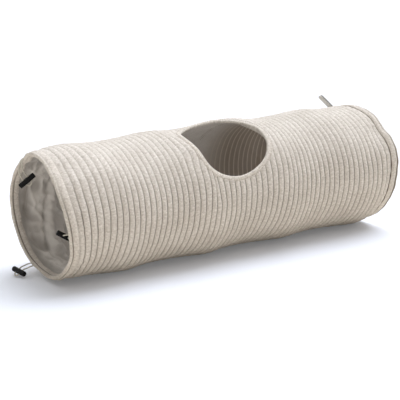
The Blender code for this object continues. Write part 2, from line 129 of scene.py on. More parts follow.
def wire_x(turns):
    """Place along the tunnel after so many turns: x rises by the closed pitch per turn, then as the square
    of the turns on the ramp, then by the lead per turn. The second half mirrors the first."""
    turns = np.asarray(turns, float)
    near = np.minimum(turns, ALL_TURNS - turns)
    ramp = np.clip(near - CLOSED_TURNS, 0.0, RAMP_TURNS)
    closed = WIRE_START_X + CLOSED_PITCH * np.minimum(near, CLOSED_TURNS)
    rising = CLOSED_PITCH * ramp + (LEAD - CLOSED_PITCH) * ramp**2 / (2 * RAMP_TURNS)
    free = LEAD * np.maximum(near - CLOSED_TURNS - RAMP_TURNS, 0.0)
    x = closed + rising + free
    return np.where(turns > ALL_TURNS / 2, -x, x)


turn_table = np.linspace(0.0, ALL_TURNS, 4001)
x_table = wire_x(turn_table)
spacing_table = np.gradient(x_table, turn_table) / LEAD
print("wire from", round(float(x_table[0]), 4), "to", round(float(x_table[-1]), 4))


def wire_phase(x, angle):
    """How far a point lies past the wire: 0 on a turn, 1 on the next. It is the number of turns that the
    wire has made at this x, less the point's own share of a turn, without its whole part."""
    turns_here = np.interp(x, x_table, turn_table)
    return np.mod(turns_here + FIRST_TURN_SHARE - angle / TURN, 1.0)


def slack(x):
    """Share of a full free turn between two turns of the wire here, from 0 to 1."""
    return np.clip(np.interp(x, x_table, spacing_table), 0.0, 1.0)

# %% [markdown]
# ## Putting a surface into a mesh
#
# A surface is a grid of points: rows run one way over the cloth, columns run the other. Blender's
# modifiers could bend a flat grid, but working out every point at once with numpy keeps the shape
# exact, and the same formula can place the stitches on it later.

# %% Surface helpers


def radial(angle):
    """Unit vector away from the tunnel's axis: no x, minus the sine for y, the cosine for z."""
    angle = np.asarray(angle, float)
    return np.stack([np.zeros_like(angle), -np.sin(angle), np.cos(angle)], axis=-1)


def tangent(angle):
    """Unit vector round the tunnel, the way that angles grow: minus the cosine for y, and minus the sine
    for z."""
    angle = np.asarray(angle, float)
    return np.stack([np.zeros_like(angle), -np.cos(angle), -np.sin(angle)], axis=-1)


def unit(vectors):
    """The same directions, each made one long."""
    return vectors / np.linalg.norm(vectors, axis=-1, keepdims=True)


def step_lengths(path):
    """Distance from each point of a path to the next."""
    return np.linalg.norm(np.diff(path, axis=0), axis=1)


def in_columns(values, count):
    """One value for each row, repeated in every column."""
    return np.repeat(values[:, None], count, axis=1)


def round_point(x, radius, angle):
    """A point at x, at that distance from the axis and at that angle from the top."""
    x, radius, angle = np.broadcast_arrays(np.asarray(x, float), radius, angle)
    points = radial(angle) * radius[..., None]
    points[..., 0] = x
    points[..., 2] += AXIS_HEIGHT
    return points


def smooth_share(share):
    """Goes from 0 to 1 with a level start and end: three squares less two cubes of the share."""
    share = np.clip(share, 0.0, 1.0)
    return share * share * (3.0 - 2.0 * share)


def hill(distance, width):
    """A bell: 1 in the middle, falling as the exponential of minus the square of distance over width."""
    return np.exp(-((distance / width) ** 2))


def swell(distance, height, place, reach):
    """A bell of some height, at a place along a line."""
    return height * hill(distance - place, reach)


def ripple(a, b, seed):
    """Smooth uneven waves between about -1 and 1: four sine waves in a and b of unlike pitch, added up."""
    total = 0.0
    for k in range(4):
        turn = 1.7 * seed + 2.4 * k
        pitch = 1.0 + 0.63 * k
        place = a * np.cos(turn) + b * np.sin(turn)
        total = total + np.sin(pitch * place + 3.1 * seed + 1.9 * k) / (1.0 + 0.5 * k)
    return total / 2.4


def uneven(a, b, *waves):
    """A sum of ripples. Each wave is its height, its pitch along a, its pitch along b, and its seed."""
    return sum(height * ripple(a / pitch_a, b / pitch_b, seed) for height, pitch_a, pitch_b, seed in waves)


def around(count):
    """Angles for the columns of a surface that closes on itself."""
    return np.arange(count) * TURN / count


def grid(down, across):
    """Two grids: the value of each row, and the value of each column."""
    return np.meshgrid(down, across, indexing="ij")


def angle_from(angle, middle):
    """How far an angle lies past another, the short way round."""
    return np.mod(angle - middle + np.pi, TURN) - np.pi


def surface(name, points, close_rows=False, close_columns=False, keep=None, caps=False):
    """Makes a mesh object from a grid of points. A closed side joins its last line to its first. keep is
    a grid that says which quads stay, and caps fills the first and the last row of a tube. The UV map
    called cloth holds the metres of cloth from the first row and from the first column."""
    rows, columns = points.shape[:2]
    i, j = grid(np.arange(rows - (not close_rows)), np.arange(columns - (not close_columns)))
    if keep is not None:
        stays = keep[i, j] & keep[(i + 1) % rows, (j + 1) % columns]
        i, j = i[stays], j[stays]
    i, j = i.ravel(), j.ravel()
    i_next, j_next = (i + 1) % rows, (j + 1) % columns
    row, row_next = i * columns, i_next * columns
    faces = np.stack([row + j, row + j_next, row_next + j_next, row_next + j], axis=-1).tolist()
    if caps:
        faces.append(np.arange(columns)[::-1].tolist())
        faces.append((np.arange(columns) + (rows - 1) * columns).tolist())
    mesh = bpy.data.meshes.new(name)
    mesh.from_pydata(points.reshape(-1, 3), [], faces)
    mesh.shade_smooth()
    piece = add_object(name, mesh)
    steps_u = np.linalg.norm(np.diff(points, axis=0, append=points[:1]), axis=2).mean(axis=1)
    steps_v = np.linalg.norm(np.diff(points, axis=1, append=points[:, :1]), axis=2).mean(axis=0)
    u = np.concatenate([[0.0], np.cumsum(steps_u)])
    v = np.concatenate([[0.0], np.cumsum(steps_v)])
    corners = np.stack([u[[i, i, i + 1, i + 1]], v[[j, j + 1, j + 1, j]]], axis=-1)
    corners = corners.transpose(1, 0, 2).reshape(-1, 2)
    uv = np.zeros((len(mesh.loops), 2), np.float32)
    uv[: len(corners)] = corners
    mesh.uv_layers.new(name="cloth").data.foreach_set("uv", uv.ravel())
    return piece


def add_attribute(piece, name, values):
    """Stores one number for each point of the mesh, for a material to read."""
    attribute = piece.data.attributes.new(name, "FLOAT", "POINT")
    attribute.data.foreach_set("value", np.ascontiguousarray(values, np.float32).ravel())


def drop_loose(piece):
    """Deletes points that no face uses."""
    bm = bmesh.new()
    bm.from_mesh(piece.data)
    bmesh.ops.delete(bm, geom=[v for v in bm.verts if not v.link_faces], context="VERTS")
    bm.to_mesh(piece.data)
    bm.free()


def tube(name, path, radius, sides=10):
    """A round tube along a path. Each ring lies square to the path, on two side directions that are
    carried along it: the first is the path's direction crossed with the way out from the axis."""
    along = unit(np.gradient(path, axis=0))
    out = path - np.array([0.0, 0.0, AXIS_HEIGHT])
    out[:, 0] = 0.0
    side = unit(np.cross(along, out))
    up = np.cross(side, along)
    turn = around(sides)[None, :, None]
    ring = np.cos(turn) * up[:, None, :] + np.sin(turn) * side[:, None, :]
    return surface(name, path[:, None, :] + radius * ring, close_columns=True, caps=True)


# %% [markdown]
# ## How the cloth hangs
#
# Between two turns of the wire the cloth sags inwards, a little sooner after a turn than before the
# next. Near each mouth it is drawn in to the hem. The whole tunnel also settles: it lies flat where
# it meets the floor, and its mouths aren't quite round. Every soft piece goes through the same
# settling, so the pieces stay together.

# %% The sag and the settling
SHELL_SAG = 0.0052
FLOOR_SOFTNESS = 0.0005
NEAR_FLOOR = 0.02
MOUTH_REACH = 0.13
NEAR_TILT = (0.0486, -0.072)
FAR_TILT = (-0.060, 0.0)

# Soft pushes on the cloth: place along the tunnel, angle in degrees, reach along, reach round, then how
# far the cloth moves along the tunnel and away from its axis
PUSHES = np.array(
    [
        (-0.380, 322.0, 0.060, 0.50, 0.0060, -0.0035),
        (-0.380, 188.0, 0.060, 0.42, 0.0020, -0.0035),
        (-0.380, 58.0, 0.050, 0.55, -0.0045, -0.0050),
        (-0.380, 118.0, 0.040, 0.26, 0.0030, 0.0010),
        (-0.350, 33.0, 0.030, 0.16, 0.0, -0.0022),
        (-0.330, 64.0, 0.022, 0.20, 0.0, -0.0016),
        (0.095, 36.0, 0.060, 0.70, 0.0115, 0.0),
        (-0.110, 38.0, 0.050, 0.60, -0.0030, 0.0),
        (-0.086, 38.0, 0.035, 0.26, 0.0085, 0.0048),
        (-0.085, 6.0, 0.030, 0.15, -0.0045, -0.0025),
        (0.010, -8.0, 0.070, 0.26, 0.0, 0.0045),
        (0.380, 68.0, 0.040, 0.35, 0.0035, 0.0025),
        (0.375, 44.0, 0.024, 0.16, -0.0020, -0.0040),
        (0.345, 58.0, 0.020, 0.16, 0.0, -0.0036),
        (0.347, 48.0, 0.011, 0.13, 0.0020, -0.0045),
        (0.300, 75.0, 0.030, 0.20, 0.0, -0.0018),
        (-0.372, 331.0, 0.022, 0.09, 0.0, -0.0030),
    ]
)
PUSHES[:, 1] = np.radians(PUSHES[:, 1])


def sag_share(x, angle):
    """Share of the full sag: the sine of half a turn of the phase, drawn towards the last turn of the
    wire."""
    phase = wire_phase(x, angle)
    return slack(x) * np.sin(np.pi * phase**0.78) ** 1.5


def layer_radius(x, rim_radius, tube_radius):
    """Radius of a layer: the tube's own, drawn in to the rim's over the shoulder beside each hem."""
    share = smooth_share((HEM_EDGE - np.abs(x)) / SHOULDER_WIDTH)
    return rim_radius + (tube_radius - rim_radius) * share


def settle(points):
    """Moves points of cloth to where they lie at rest. Each mouth leans, which moves x by a share of y and
    of z. The pushes move x and the radius, and the height is pressed up softly by the floor: the
    logarithm of one plus the exponential of the height."""
    points = np.array(points, float)
    x = points[..., 0].copy()
    y, z = points[..., 1].copy(), points[..., 2] - AXIS_HEIGHT
    radius = np.hypot(y, z)
    angle = np.arctan2(-y, z)
    near = smooth_share((MOUTH_REACH - HALF_LENGTH - x) / MOUTH_REACH)
    far = smooth_share((x - HALF_LENGTH + MOUTH_REACH) / MOUTH_REACH)
    near_shift = near * (NEAR_TILT[0] * y + NEAR_TILT[1] * z)
    far_shift = far * (FAR_TILT[0] * y + FAR_TILT[1] * z)
    points[..., 0] += near_shift + far_shift
    for place, turn, reach_x, reach_turn, along, out in PUSHES:
        share = hill(x - place, reach_x) * hill(angle_from(angle, turn), reach_turn)
        points[..., 0] += along * share
        radius += out * share
    points[..., 1] = -np.sin(angle) * radius
    height = AXIS_HEIGHT + np.cos(angle) * radius
    fold_light_share = FLOOR_SOFTNESS * np.logaddexp(0.0, height / FLOOR_SOFTNESS)
    points[..., 2] = np.where(height < NEAR_FLOOR, fold_light_share, height)
    return points


# %% [markdown]
# ## Floor and light
#
# The photograph was taken in a white studio: the object stands on white, with one broad soft light above
# and a little behind it. A sun lamp with a wide angle gives that soft shadow. The world fills the rest.
# The floor glows a little for the camera only, so it reads as white and still keeps the shadow.

# %% Node helpers


def colour(red, green, blue):
    """A colour with its alpha."""
    return (red, green, blue, 1.0)


def node(tree, kind, sockets=(), **settings):
    """Adds one node. settings are its options. sockets is a list of pairs: an input, and a value or the
    output of another node that feeds it."""
    made = tree.nodes.new(kind)
    for key, value in settings.items():
        setattr(made, key, value)
    for key, value in sockets:
        if isinstance(value, bpy.types.NodeSocket):
            tree.links.new(value, made.inputs[key])
        else:
            made.inputs[key].default_value = value
    return made


def maths(tree, operation, first, second=0.5):
    """One sum on two numbers or outputs."""
    return node(tree, "ShaderNodeMath", [(0, first), (1, second)], operation=operation).outputs[0]


def map_range(tree, value, from_min, from_max, to_min, to_max):
    """Maps one range of numbers to another."""
    names = ("Value", "From Min", "From Max", "To Min", "To Max")
    sockets = list(zip(names, (value, from_min, from_max, to_min, to_max)))
    return node(tree, "ShaderNodeMapRange", sockets).outputs["Result"]


def blend_colours(tree, factor, first, second, kind="MIX"):
    """Mixes two colours by a factor."""
    sockets = [(0, factor), (6, first), (7, second)]
    return node(tree, "ShaderNodeMix", sockets, data_type="RGBA", blend_type=kind).outputs[2]


def seen_directly(tree):
    """1 for a ray from the camera, also by a mirror or through glass, and 0 for light that spreads."""
    path = node(tree, "ShaderNodeLightPath").outputs
    seen = maths(tree, "MAXIMUM", path["Is Camera Ray"], path["Is Glossy Ray"])
    return maths(tree, "MAXIMUM", seen, path["Is Transmission Ray"])


def new_material(name, **values):
    """A material with one Principled shader. values are set on the shader's own inputs."""
    material = bpy.data.materials.new(name)
    material.use_nodes = True
    shader = material.node_tree.nodes["Principled BSDF"]
    for key, value in values.items():
        shader.inputs[key.replace("_", " ")].default_value = value
    return material, material.node_tree, shader


# %% Floor
FLOOR_REACH = 12.0
FLOOR_GLOW = 0.14
FLOOR_LIT = colour(0.90, 0.855, 0.785)
FLOOR_SEEN = colour(0.755, 0.795, 0.90)
floor_mesh = bpy.data.meshes.new("floor")
corners = [(FLOOR_REACH * i, FLOOR_REACH * j, 0.0) for i, j in ((-1, -1), (1, -1), (1, 1), (-1, 1))]
floor_mesh.from_pydata(corners, [], [(0, 1, 2, 3)])
floor = add_object("floor", floor_mesh)
floor_paint, tree, shader = new_material(
    "floor_paint", Roughness=0.9, Specular_IOR_Level=0.0, Emission_Color=colour(1.0, 1.0, 1.0)
)
seen = seen_directly(tree)
tree.links.new(maths(tree, "MULTIPLY", seen, FLOOR_GLOW), shader.inputs["Emission Strength"])
tree.links.new(blend_colours(tree, seen, FLOOR_LIT, FLOOR_SEEN), shader.inputs["Base Color"])
floor.data.materials.append(floor_paint)
print("floor:", 2 * FLOOR_REACH, "m square")

# %% Lights
FILL_LEVEL = 0.13
FILL_ABOVE = 0.85
FILL_COLOUR = colour(1.03, 1.0, 0.93)
SUN_STRENGTH = 3.1
SUN_WIDTH = np.radians(58.0)
SUN_COLOUR = (0.975, 0.99, 1.015)
SUN_LEAN = (np.radians(-8.0), np.radians(26.0), 0.0)
sun_data = bpy.data.lights.new("broad_light", "SUN")
sun_data.energy = SUN_STRENGTH
sun_data.angle = SUN_WIDTH
sun_data.color = SUN_COLOUR
sun = add_object("broad_light", sun_data)
sun.rotation_euler = SUN_LEAN

world = bpy.data.worlds.new("studio")
bpy.context.scene.world = world
world.use_nodes = True
tree = world.node_tree
sky = tree.nodes["Background"]
seen = seen_directly(tree)
way = node(tree, "ShaderNodeSeparateXYZ", [(0, node(tree, "ShaderNodeTexCoord").outputs["Generated"])])
height = node(tree, "ShaderNodeMath", [(0, way.outputs[2]), (1, 2.0)], operation="POWER", use_clamp=True)
fill = map_range(tree, height.outputs[0], 0.0, 1.0, FILL_LEVEL, FILL_ABOVE)
tint = blend_colours(tree, seen, FILL_COLOUR, colour(1.0, 1.0, 1.0))
tree.links.new(tint, sky.inputs["Color"])
tree.links.new(map_range(tree, seen, 0.0, 1.0, fill, 1.0), sky.inputs["Strength"])
bpy.context.scene.view_settings.view_transform = "Standard"
print("lamp and sky:", round(sun_data.energy, 2), "and", FILL_LEVEL, "to", FILL_ABOVE)

# %% [markdown]
# ## The corduroy
#
# Corduroy is a cloth with a pile. The pile stands in soft round ribs, the wales, with a narrow bare
# groove between. These wales are wide, about 12 mm, and each runs round the tunnel like a hoop. So the
# surface is worked out with eight rows of points to each wale: close together in the groove, far
# apart on the crown. A number for how high the pile stands goes with each point, for the material.

# %% Corduroy shell
SHELL_AT_RIM = 0.1172
SHELL_GROOVE = 0.1217
WALE_HEIGHT = 0.0036
SHELL_EDGE = 0.3685
SHELL_COLUMNS = 200
WALE_SHARES = np.array([0.0, 0.06, 0.16, 0.32, 0.50, 0.68, 0.84, 0.94])
HOLE_X = -0.0105
HOLE_ANGLE = np.radians(31.0)
HOLE_RADIUS = 0.0825
HOLE_HEM = 0.0095
CUT_EDGE = 0.0035
DART_X = -0.0710
DART_ANGLE = np.radians(68.0)
DART_DRAW = 0.0045
DART_DEPTH = 0.0014
PUCKER_DEPTH = 0.0005
# waves in the cloth: height, pitch along the tunnel, pitch round it in radians, seed
GROUND_WAVES = ((0.0005, 0.035, 0.22, 3), (0.0003, 0.014, 0.11, 5))
WALE_WANDER = ((0.0012, 0.050, 0.26, 1), (0.0007, 0.018, 0.13, 2))
PILE_WAVES = ((0.10, 0.012, 0.16, 7), (0.10, 0.004, 0.045, 9))


def wale_height(share):
    """How high the pile stands, from 0 to 1, at a share of the way over a wale: a power of a sine, so the
    crown is broad and the groove is narrow."""
    return np.sin(np.pi * np.clip(share, 0.0, 1.0)) ** 0.62


def hole_distance(x, angle):
    """Distance from the middle of the hole, measured on the cloth before it is rolled up."""
    return np.hypot(x - HOLE_X, CREST_RADIUS * angle_from(angle, HOLE_ANGLE))


def sagging_radius(x, angle):
    """The corduroy's own layer, less the sag between the turns of the wire."""
    return layer_radius(x, SHELL_AT_RIM, SHELL_GROOVE) - SHELL_SAG * sag_share(x, angle)


def pucker(x, angle):
    """Small gathers beside each hem, where the wide cloth is sewn to the narrow ring: waves round the
    tunnel that fade over 2 cm."""
    edge = HEM_EDGE - np.abs(x)
    waves = np.sin(47 * angle + 3.0 * np.sin(2 * angle + np.sign(x))) + 0.6 * np.sin(29 * angle + 1.3)
    return PUCKER_DEPTH * hill(edge - 0.010, 0.010) * waves


def shell_groove(x, angle):
    """Radius of the ground of the cloth, with soft uneven waves and the gathers."""
    return sagging_radius(x, angle) + uneven(x, angle, *GROUND_WAVES) * slack(x) + pucker(x, angle)


def shell_point(x, angle, height):
    """A point of the corduroy: height is how much of the pile lies under it. The wales wander a little,
    and a dart below the hole draws a few of them together."""
    wander = uneven(x, angle, *WALE_WANDER) * smooth_share((HEM_EDGE - np.abs(x)) / 0.03)
    pile = WALE_HEIGHT * (1.0 + uneven(x, angle, *PILE_WAVES)) * (1.0 - 0.30 * smooth_share(np.cos(angle)))
    off = x - DART_X
    tuck = hill(angle_from(angle, DART_ANGLE), 0.30)
    wander = wander - DART_DRAW * np.tanh(off / 0.006) * hill(off, 0.028) * tuck
    fold = DART_DEPTH * hill(off, 0.005) * tuck
    return settle(round_point(x + wander, shell_groove(x, angle) + pile * height - fold, angle))


wale_numbers = np.repeat(np.arange(WALE_COUNT), len(WALE_SHARES))
wale_shares = np.tile(WALE_SHARES, WALE_COUNT)
shell_x = -HEM_EDGE + WALE_PITCH * (wale_numbers + wale_shares)
shell_x = np.concatenate([[-SHELL_EDGE], shell_x, [HEM_EDGE, SHELL_EDGE]])
shell_height = np.concatenate([[0.0], wale_height(wale_shares), [0.0, 0.0]])
grid_x, grid_angle = grid(shell_x, around(SHELL_COLUMNS))
grid_height = in_columns(shell_height, SHELL_COLUMNS)
outside_hole = hole_distance(grid_x, grid_angle) > HOLE_RADIUS + CUT_EDGE
shell_points = shell_point(grid_x, grid_angle, grid_height)
shell_cloth = surface("shell_cloth", shell_points, close_columns=True, keep=outside_hole)
add_attribute(shell_cloth, "pile", grid_height)
# how far each point faces up; the finish pales the painted shade in the grooves by it, as painted light
add_attribute(shell_cloth, "upward", np.cos(grid_angle))
drop_loose(shell_cloth)
print("corduroy:", len(shell_cloth.data.polygons), "quads,", WALE_COUNT, "wales")

# %% [markdown]
# ## The lining
#
# Inside there is a plain smooth cloth. It is sewn to the corduroy only along the wire, where the
# seams pull it tight, so it bellies inwards between two turns and it creases near the mouths. The same
# phase that gave the sag of the shell gives this billow.

# %% Lining
LINING_AT_RIM = 0.1114
LINING_RADIUS = 0.1155
LINING_BILLOW = 0.0034
LINING_COLUMNS = 192
LINING_CUT_EDGE = 0.0030
# swells are height, place and reach: along the tunnel, across the long fold, or round the tunnel
NEAR_BILLOW = (1.2, -0.25, 0.09)
CREASE_DEPTH = 0.0008
NEAR_CREASES = (0.0085, -0.295, 0.075)
FAR_CREASES = (0.0016, 0.330, 0.060)
CREASE_EDGE = 0.366
CREASE_FADE = 0.015
LONG_FOLD_CREST = (0.0082, 0.014, 0.009)
LONG_FOLD_TROUGH = (0.0060, 0.0, 0.0040)
SHORT_FOLD = (0.0038, -2.55, 0.055)
SHORT_FOLD_X = -0.310
SHORT_FOLD_REACH = 0.026
# the long fold's line: its place along the tunnel at one angle, and how far it slants in a radian
LONG_FOLD_X = -0.296
LONG_FOLD_ANGLE = -1.094
LONG_FOLD_SLANT = 0.0236
LONG_FOLD_MIDDLE = -1.83
LONG_FOLD_SPREAD = 0.80
# how near the hole the lining lies on the corduroy's back, and how much of a turn each seam keeps it off
HOLE_LIFT_REACH = 0.028
SEAM_SHARE = 0.022
SEAM_FADE_SHARE = 0.045
CORDUROY_BACK = 0.0012


def crease(a, b, seed):
    """Sharp folds: one less the size of a smooth wave is highest along thin wandering lines."""
    return 1.0 - np.abs(ripple(a, b, seed))


def lining_inner(x, angle):
    """Radius of the lining: the layer's radius, less a billow that starts steeply at each seam, less
    creases that are deepest near the mouths. A long fold and a short one lie just inside the near mouth.
    Beside the hole the lining rises to the back of the corduroy."""
    phase = wire_phase(x, angle)
    billow = LINING_BILLOW * slack(x) * np.sin(np.pi * phase) ** 0.55 * (1.0 + swell(x, *NEAR_BILLOW))
    folds = crease(x / 0.034, angle / 0.20, 11) ** 3 * (0.6 + 0.4 * ripple(x / 0.05, angle / 0.5, 13))
    folds = folds + 0.7 * crease(x / 0.020 + angle / 0.30, angle / 0.40, 37) ** 5
    fine = crease(x / 0.009, angle / 0.10, 41) ** 3
    folds = folds + 0.8 * fine * (0.5 + 0.5 * ripple(x / 0.03, angle / 0.3, 43))
    depth = CREASE_DEPTH + swell(x, *NEAR_CREASES) + swell(x, *FAR_CREASES)
    folds = depth * folds * smooth_share((CREASE_EDGE - np.abs(x)) / CREASE_FADE)
    turn = angle_from(angle, 0.0)
    off = x - LONG_FOLD_X - LONG_FOLD_SLANT * (turn - LONG_FOLD_ANGLE)
    long_fold = swell(off, *LONG_FOLD_CREST) - swell(off, *LONG_FOLD_TROUGH)
    short_fold = swell(turn, *SHORT_FOLD) * hill(x - SHORT_FOLD_X, SHORT_FOLD_REACH)
    folds = folds + long_fold * hill(turn - LONG_FOLD_MIDDLE, LONG_FOLD_SPREAD) + short_fold
    inner = layer_radius(x, LINING_AT_RIM, LINING_RADIUS) - billow - folds
    near_hole = smooth_share(1.0 - (hole_distance(x, angle) - HOLE_RADIUS) / HOLE_LIFT_REACH)
    free = smooth_share((np.minimum(phase, 1.0 - phase) - SEAM_SHARE) / SEAM_FADE_SHARE)
    shell_back = sagging_radius(x, angle) - CORDUROY_BACK
    return inner + np.maximum(shell_back - inner, 0.0) * near_hole * free


lining_x = np.linspace(-SHELL_EDGE, SHELL_EDGE, 371)
grid_x, grid_angle = grid(lining_x, around(LINING_COLUMNS))
lining_points = settle(round_point(grid_x, lining_inner(grid_x, grid_angle), grid_angle))
outside_hole = hole_distance(grid_x, grid_angle) > HOLE_RADIUS + LINING_CUT_EDGE
lining_cloth = surface("lining_cloth", lining_points[::-1], close_columns=True, keep=outside_hole[::-1])
add_attribute(lining_cloth, "ribs", (grid_x[::-1] + HEM_EDGE) / WALE_PITCH)
# depth sets the painted shade deep in the tunnel and the lines of painted light there; lift sets the painted
# shade in the creases and the painted light on the folds, and past the near part of the tunnel it is 1, with
# no painted shade
add_attribute(lining_cloth, "depth", smooth_share((grid_x[::-1] - 0.04) / 0.09))
lift = layer_radius(grid_x, LINING_AT_RIM, LINING_RADIUS) - lining_inner(grid_x, grid_angle)
lift = np.maximum(np.clip(lift / 0.013, 0.0, 1.0), smooth_share((grid_x + 0.20) / 0.12))
add_attribute(lining_cloth, "lift", lift[::-1])
drop_loose(lining_cloth)
print("lining:", len(lining_cloth.data.polygons), "quads")

# %% [markdown]
# ## The hem at each mouth
#
# The corduroy is folded over the closed turn of the wire and sewn down, so from outside the hem is one
# fat round rib at the very edge, a line of stitches, and a flatter rib beside it. The inside is the
# same. It is one profile carried round the mouth.

# %% Hems
HEM_WIDTH = 0.0186
HEM_GROOVE = 0.0056
HEM_GROUND = 0.0024
HEM_PILE = 0.0029
HEM_COLUMNS = 240
NOSE_INSET = 0.0008
NOSE_SQUARENESS = 0.0004


def hem_profile():
    """The section of the hem, as depth from the mouth, distance from the axis and pile height. The nose is
    half an oval. On each side of it lies one more rib whose height is the root of a sine."""
    share = (1.0 - np.cos(np.pi * np.linspace(0.0, 1.0, 11))) / 2
    rib_depth = HEM_WIDTH + (HEM_GROOVE - HEM_WIDTH) * share
    rib_pile = wale_height(share)
    turn = np.pi * (0.5 + 0.5 * np.sin(np.pi * np.linspace(-0.5, 0.5, 27)))[1:-1]
    half = (RIM_RADIUS - RIM_INNER) / 2 - NOSE_INSET
    nose_depth = HEM_GROOVE * (1.0 - np.sin(turn) ** 0.80)
    nose_radius = RIM_MIDDLE + half * np.cos(turn)
    nose_radius = nose_radius + NOSE_SQUARENESS * np.sign(np.cos(turn)) * np.sin(2 * turn) ** 2
    depth = np.concatenate([rib_depth, nose_depth, rib_depth[::-1]])
    outer = RIM_RADIUS - HEM_GROUND + HEM_PILE * rib_pile
    inner = RIM_INNER + HEM_GROUND - HEM_PILE * rib_pile[::-1]
    radius = np.concatenate([outer, nose_radius, inner])
    pile = np.concatenate([rib_pile**0.6, np.sin(turn) ** 0.9, rib_pile[::-1] ** 0.6])
    return depth, radius, pile


hem_depth, hem_radius, hem_pile = hem_profile()


def make_hem(name, side):
    """Carries the hem's section round one mouth. side is -1 for the near mouth and 1 for the far one."""
    depth, angle = grid(hem_depth, around(HEM_COLUMNS))
    radius = in_columns(hem_radius, HEM_COLUMNS)
    x = side * (HALF_LENGTH - depth)
    lumps = uneven(depth, angle, (0.0007, 0.006, 0.06, 17 + side), (0.0005, 0.02, 0.20, 19))
    bulge = np.sign(radius - RIM_MIDDLE) * lumps
    points = settle(round_point(x + side * 0.4 * lumps, radius + bulge, angle))
    order = slice(None) if side > 0 else slice(None, None, -1)
    hem = surface(name, points[order], close_rows=True, close_columns=True)
    add_attribute(hem, "pile", in_columns(hem_pile[order], HEM_COLUMNS))
    # how far each point faces up, for the painted light in the grooves
    add_attribute(hem, "upward", np.cos(angle))
    return hem


front_hem = make_hem("front_hem", -1)
rear_hem = make_hem("rear_hem", 1)
print("hem:", len(front_hem.data.polygons), "quads each")

# %% [markdown]
# ## The hem of the hole
#
# Round the hole the edges of shell and lining are wrapped in a strip of the same corduroy, turned
# under. Its section is a flat loop: a puffed top, a rounded nose at the edge of the hole, and a flat
# underside. The loop is carried round the hole, always standing on the cloth under it.

# %% Peephole binding
TOP_PUFF = 0.0017
UNDER_PUFF = 0.0008
BINDING_COLUMNS = 224
NOSE_REACH = 0.0016
NOSE_RISE = 0.0010
OUTER_EDGE_TUCK = 0.0022
UNDER_DROP = 0.0002


def hole_place(flat_radius, turn):
    """Place along the tunnel and angle of a point beside the hole. Its circle was drawn on the flat
    cloth."""
    return HOLE_X + flat_radius * np.cos(turn), HOLE_ANGLE + flat_radius * np.sin(turn) / CREST_RADIUS


def binding_point(across, turn, side, height):
    """A point of the binding. across is the way out from the hole. side goes from 1 on top of the corduroy
    to 0 under the lining, and height is added away from the cloth."""
    x, angle = hole_place(across, turn)
    smooth_top = sagging_radius(x, angle) + 0.45 * WALE_HEIGHT
    under = lining_inner(x, angle)
    radius = under + (smooth_top - under) * side + height
    return settle(round_point(x, radius, angle))


def hole_wander(turn):
    """How far the hem strays from a true circle at an angle round the hole."""
    return 0.0010 * ripple(3 * turn, 0 * turn, 31)


share = np.linspace(0.0, 1.0, 13)
nose = np.linspace(0.0, np.pi, 13)[1:-1]
dome = 0.25 + 0.75 * np.sin(np.pi * (0.02 + 0.80 * share)) ** 0.6
top_height = TOP_PUFF * dome - OUTER_EDGE_TUCK * (1.0 - share) ** 8
under_height = -UNDER_PUFF * np.sin(np.pi * (0.25 + 0.75 * share)) ** 0.6 - UNDER_DROP
section_across = [HOLE_HEM * (1.0 - share), -NOSE_REACH * np.sin(nose), HOLE_HEM * share]
section_across = HOLE_RADIUS + np.concatenate(section_across)
section_side = np.concatenate([np.ones(13), (1.0 + np.cos(nose)) / 2, np.zeros(13)])
section_height = np.concatenate([top_height, NOSE_RISE * np.cos(nose), under_height])
section_pile = np.concatenate([np.sin(np.pi * (0.04 + 0.84 * share)) ** 0.4, np.ones(11), 0.9 - 0.3 * share])
across, turn = grid(section_across, around(BINDING_COLUMNS))
side = in_columns(section_side, BINDING_COLUMNS)
height = in_columns(section_height, BINDING_COLUMNS)
lumps = uneven(turn, across, (0.0006, 1 / 16, 0.005, 23), (0.0005, 1 / 4, 0.02, 29))
across = across + hole_wander(turn) + 0.5 * lumps
gathers = 0.0007 * np.sin(44 * turn + 2.0 * np.sin(3 * turn))
gathers = gathers * smooth_share((across - HOLE_RADIUS) / HOLE_HEM)
height = height + (lumps + gathers) * side
binding_points = binding_point(across, turn, side, height)
peephole_hem = surface("peephole_hem", binding_points, close_rows=True, close_columns=True)
add_attribute(peephole_hem, "pile", in_columns(section_pile, BINDING_COLUMNS))
# how far each point faces up, for the painted light in the grooves
add_attribute(peephole_hem, "upward", np.cos(hole_place(across, turn)[1]))
print("hole binding:", len(peephole_hem.data.polygons), "quads")

# %% [markdown]
# ## The wire and its casing
#
# The wire hardly shows, but its line is what makes the ridges. It is a thin tube along the helix, in
# three lengths: the two ends lie in the hems and stay with them, and the long one between rides with
# the cloth. The casing is a narrow tape folded round the wire from the inside and sewn to the
# corduroy on both sides.

# %% Spring wire
WIRE_STEPS_PER_TURN = 60
WIRE_LEAVES_HEM = HEM_EDGE - 0.004
wire_turns = np.linspace(0.0, ALL_TURNS, int(ALL_TURNS * WIRE_STEPS_PER_TURN) + 1)


def wire_radius(x):
    """Distance of the wire from the axis: the hem draws it in."""
    return layer_radius(x, WIRE_PATH_AT_RIM, WIRE_PATH)


wire_line = wire_x(wire_turns)
wire_angles = (FIRST_TURN_SHARE + wire_turns) * TURN
wire_path = settle(round_point(wire_line, wire_radius(wire_line), wire_angles))
first, last = np.searchsorted(wire_line, [-WIRE_LEAVES_HEM, WIRE_LEAVES_HEM])
steel_wire = tube("steel_wire", wire_path[first : last + 1], WIRE_DIAMETER / 2)
front_ring = tube("steel_wire_front_ring", wire_path[: first + 1], WIRE_DIAMETER / 2)
rear_ring = tube("steel_wire_rear_ring", wire_path[last:], WIRE_DIAMETER / 2)
print("wire:", round(float(step_lengths(wire_path).sum()), 2), "m long")

# %% Sleeves on the wire
SLEEVE_LENGTH = 0.012
SLEEVE_BORE = 0.0014
SLEEVE_RADIUS = 0.0019
SLEEVE_DENT = 0.0003


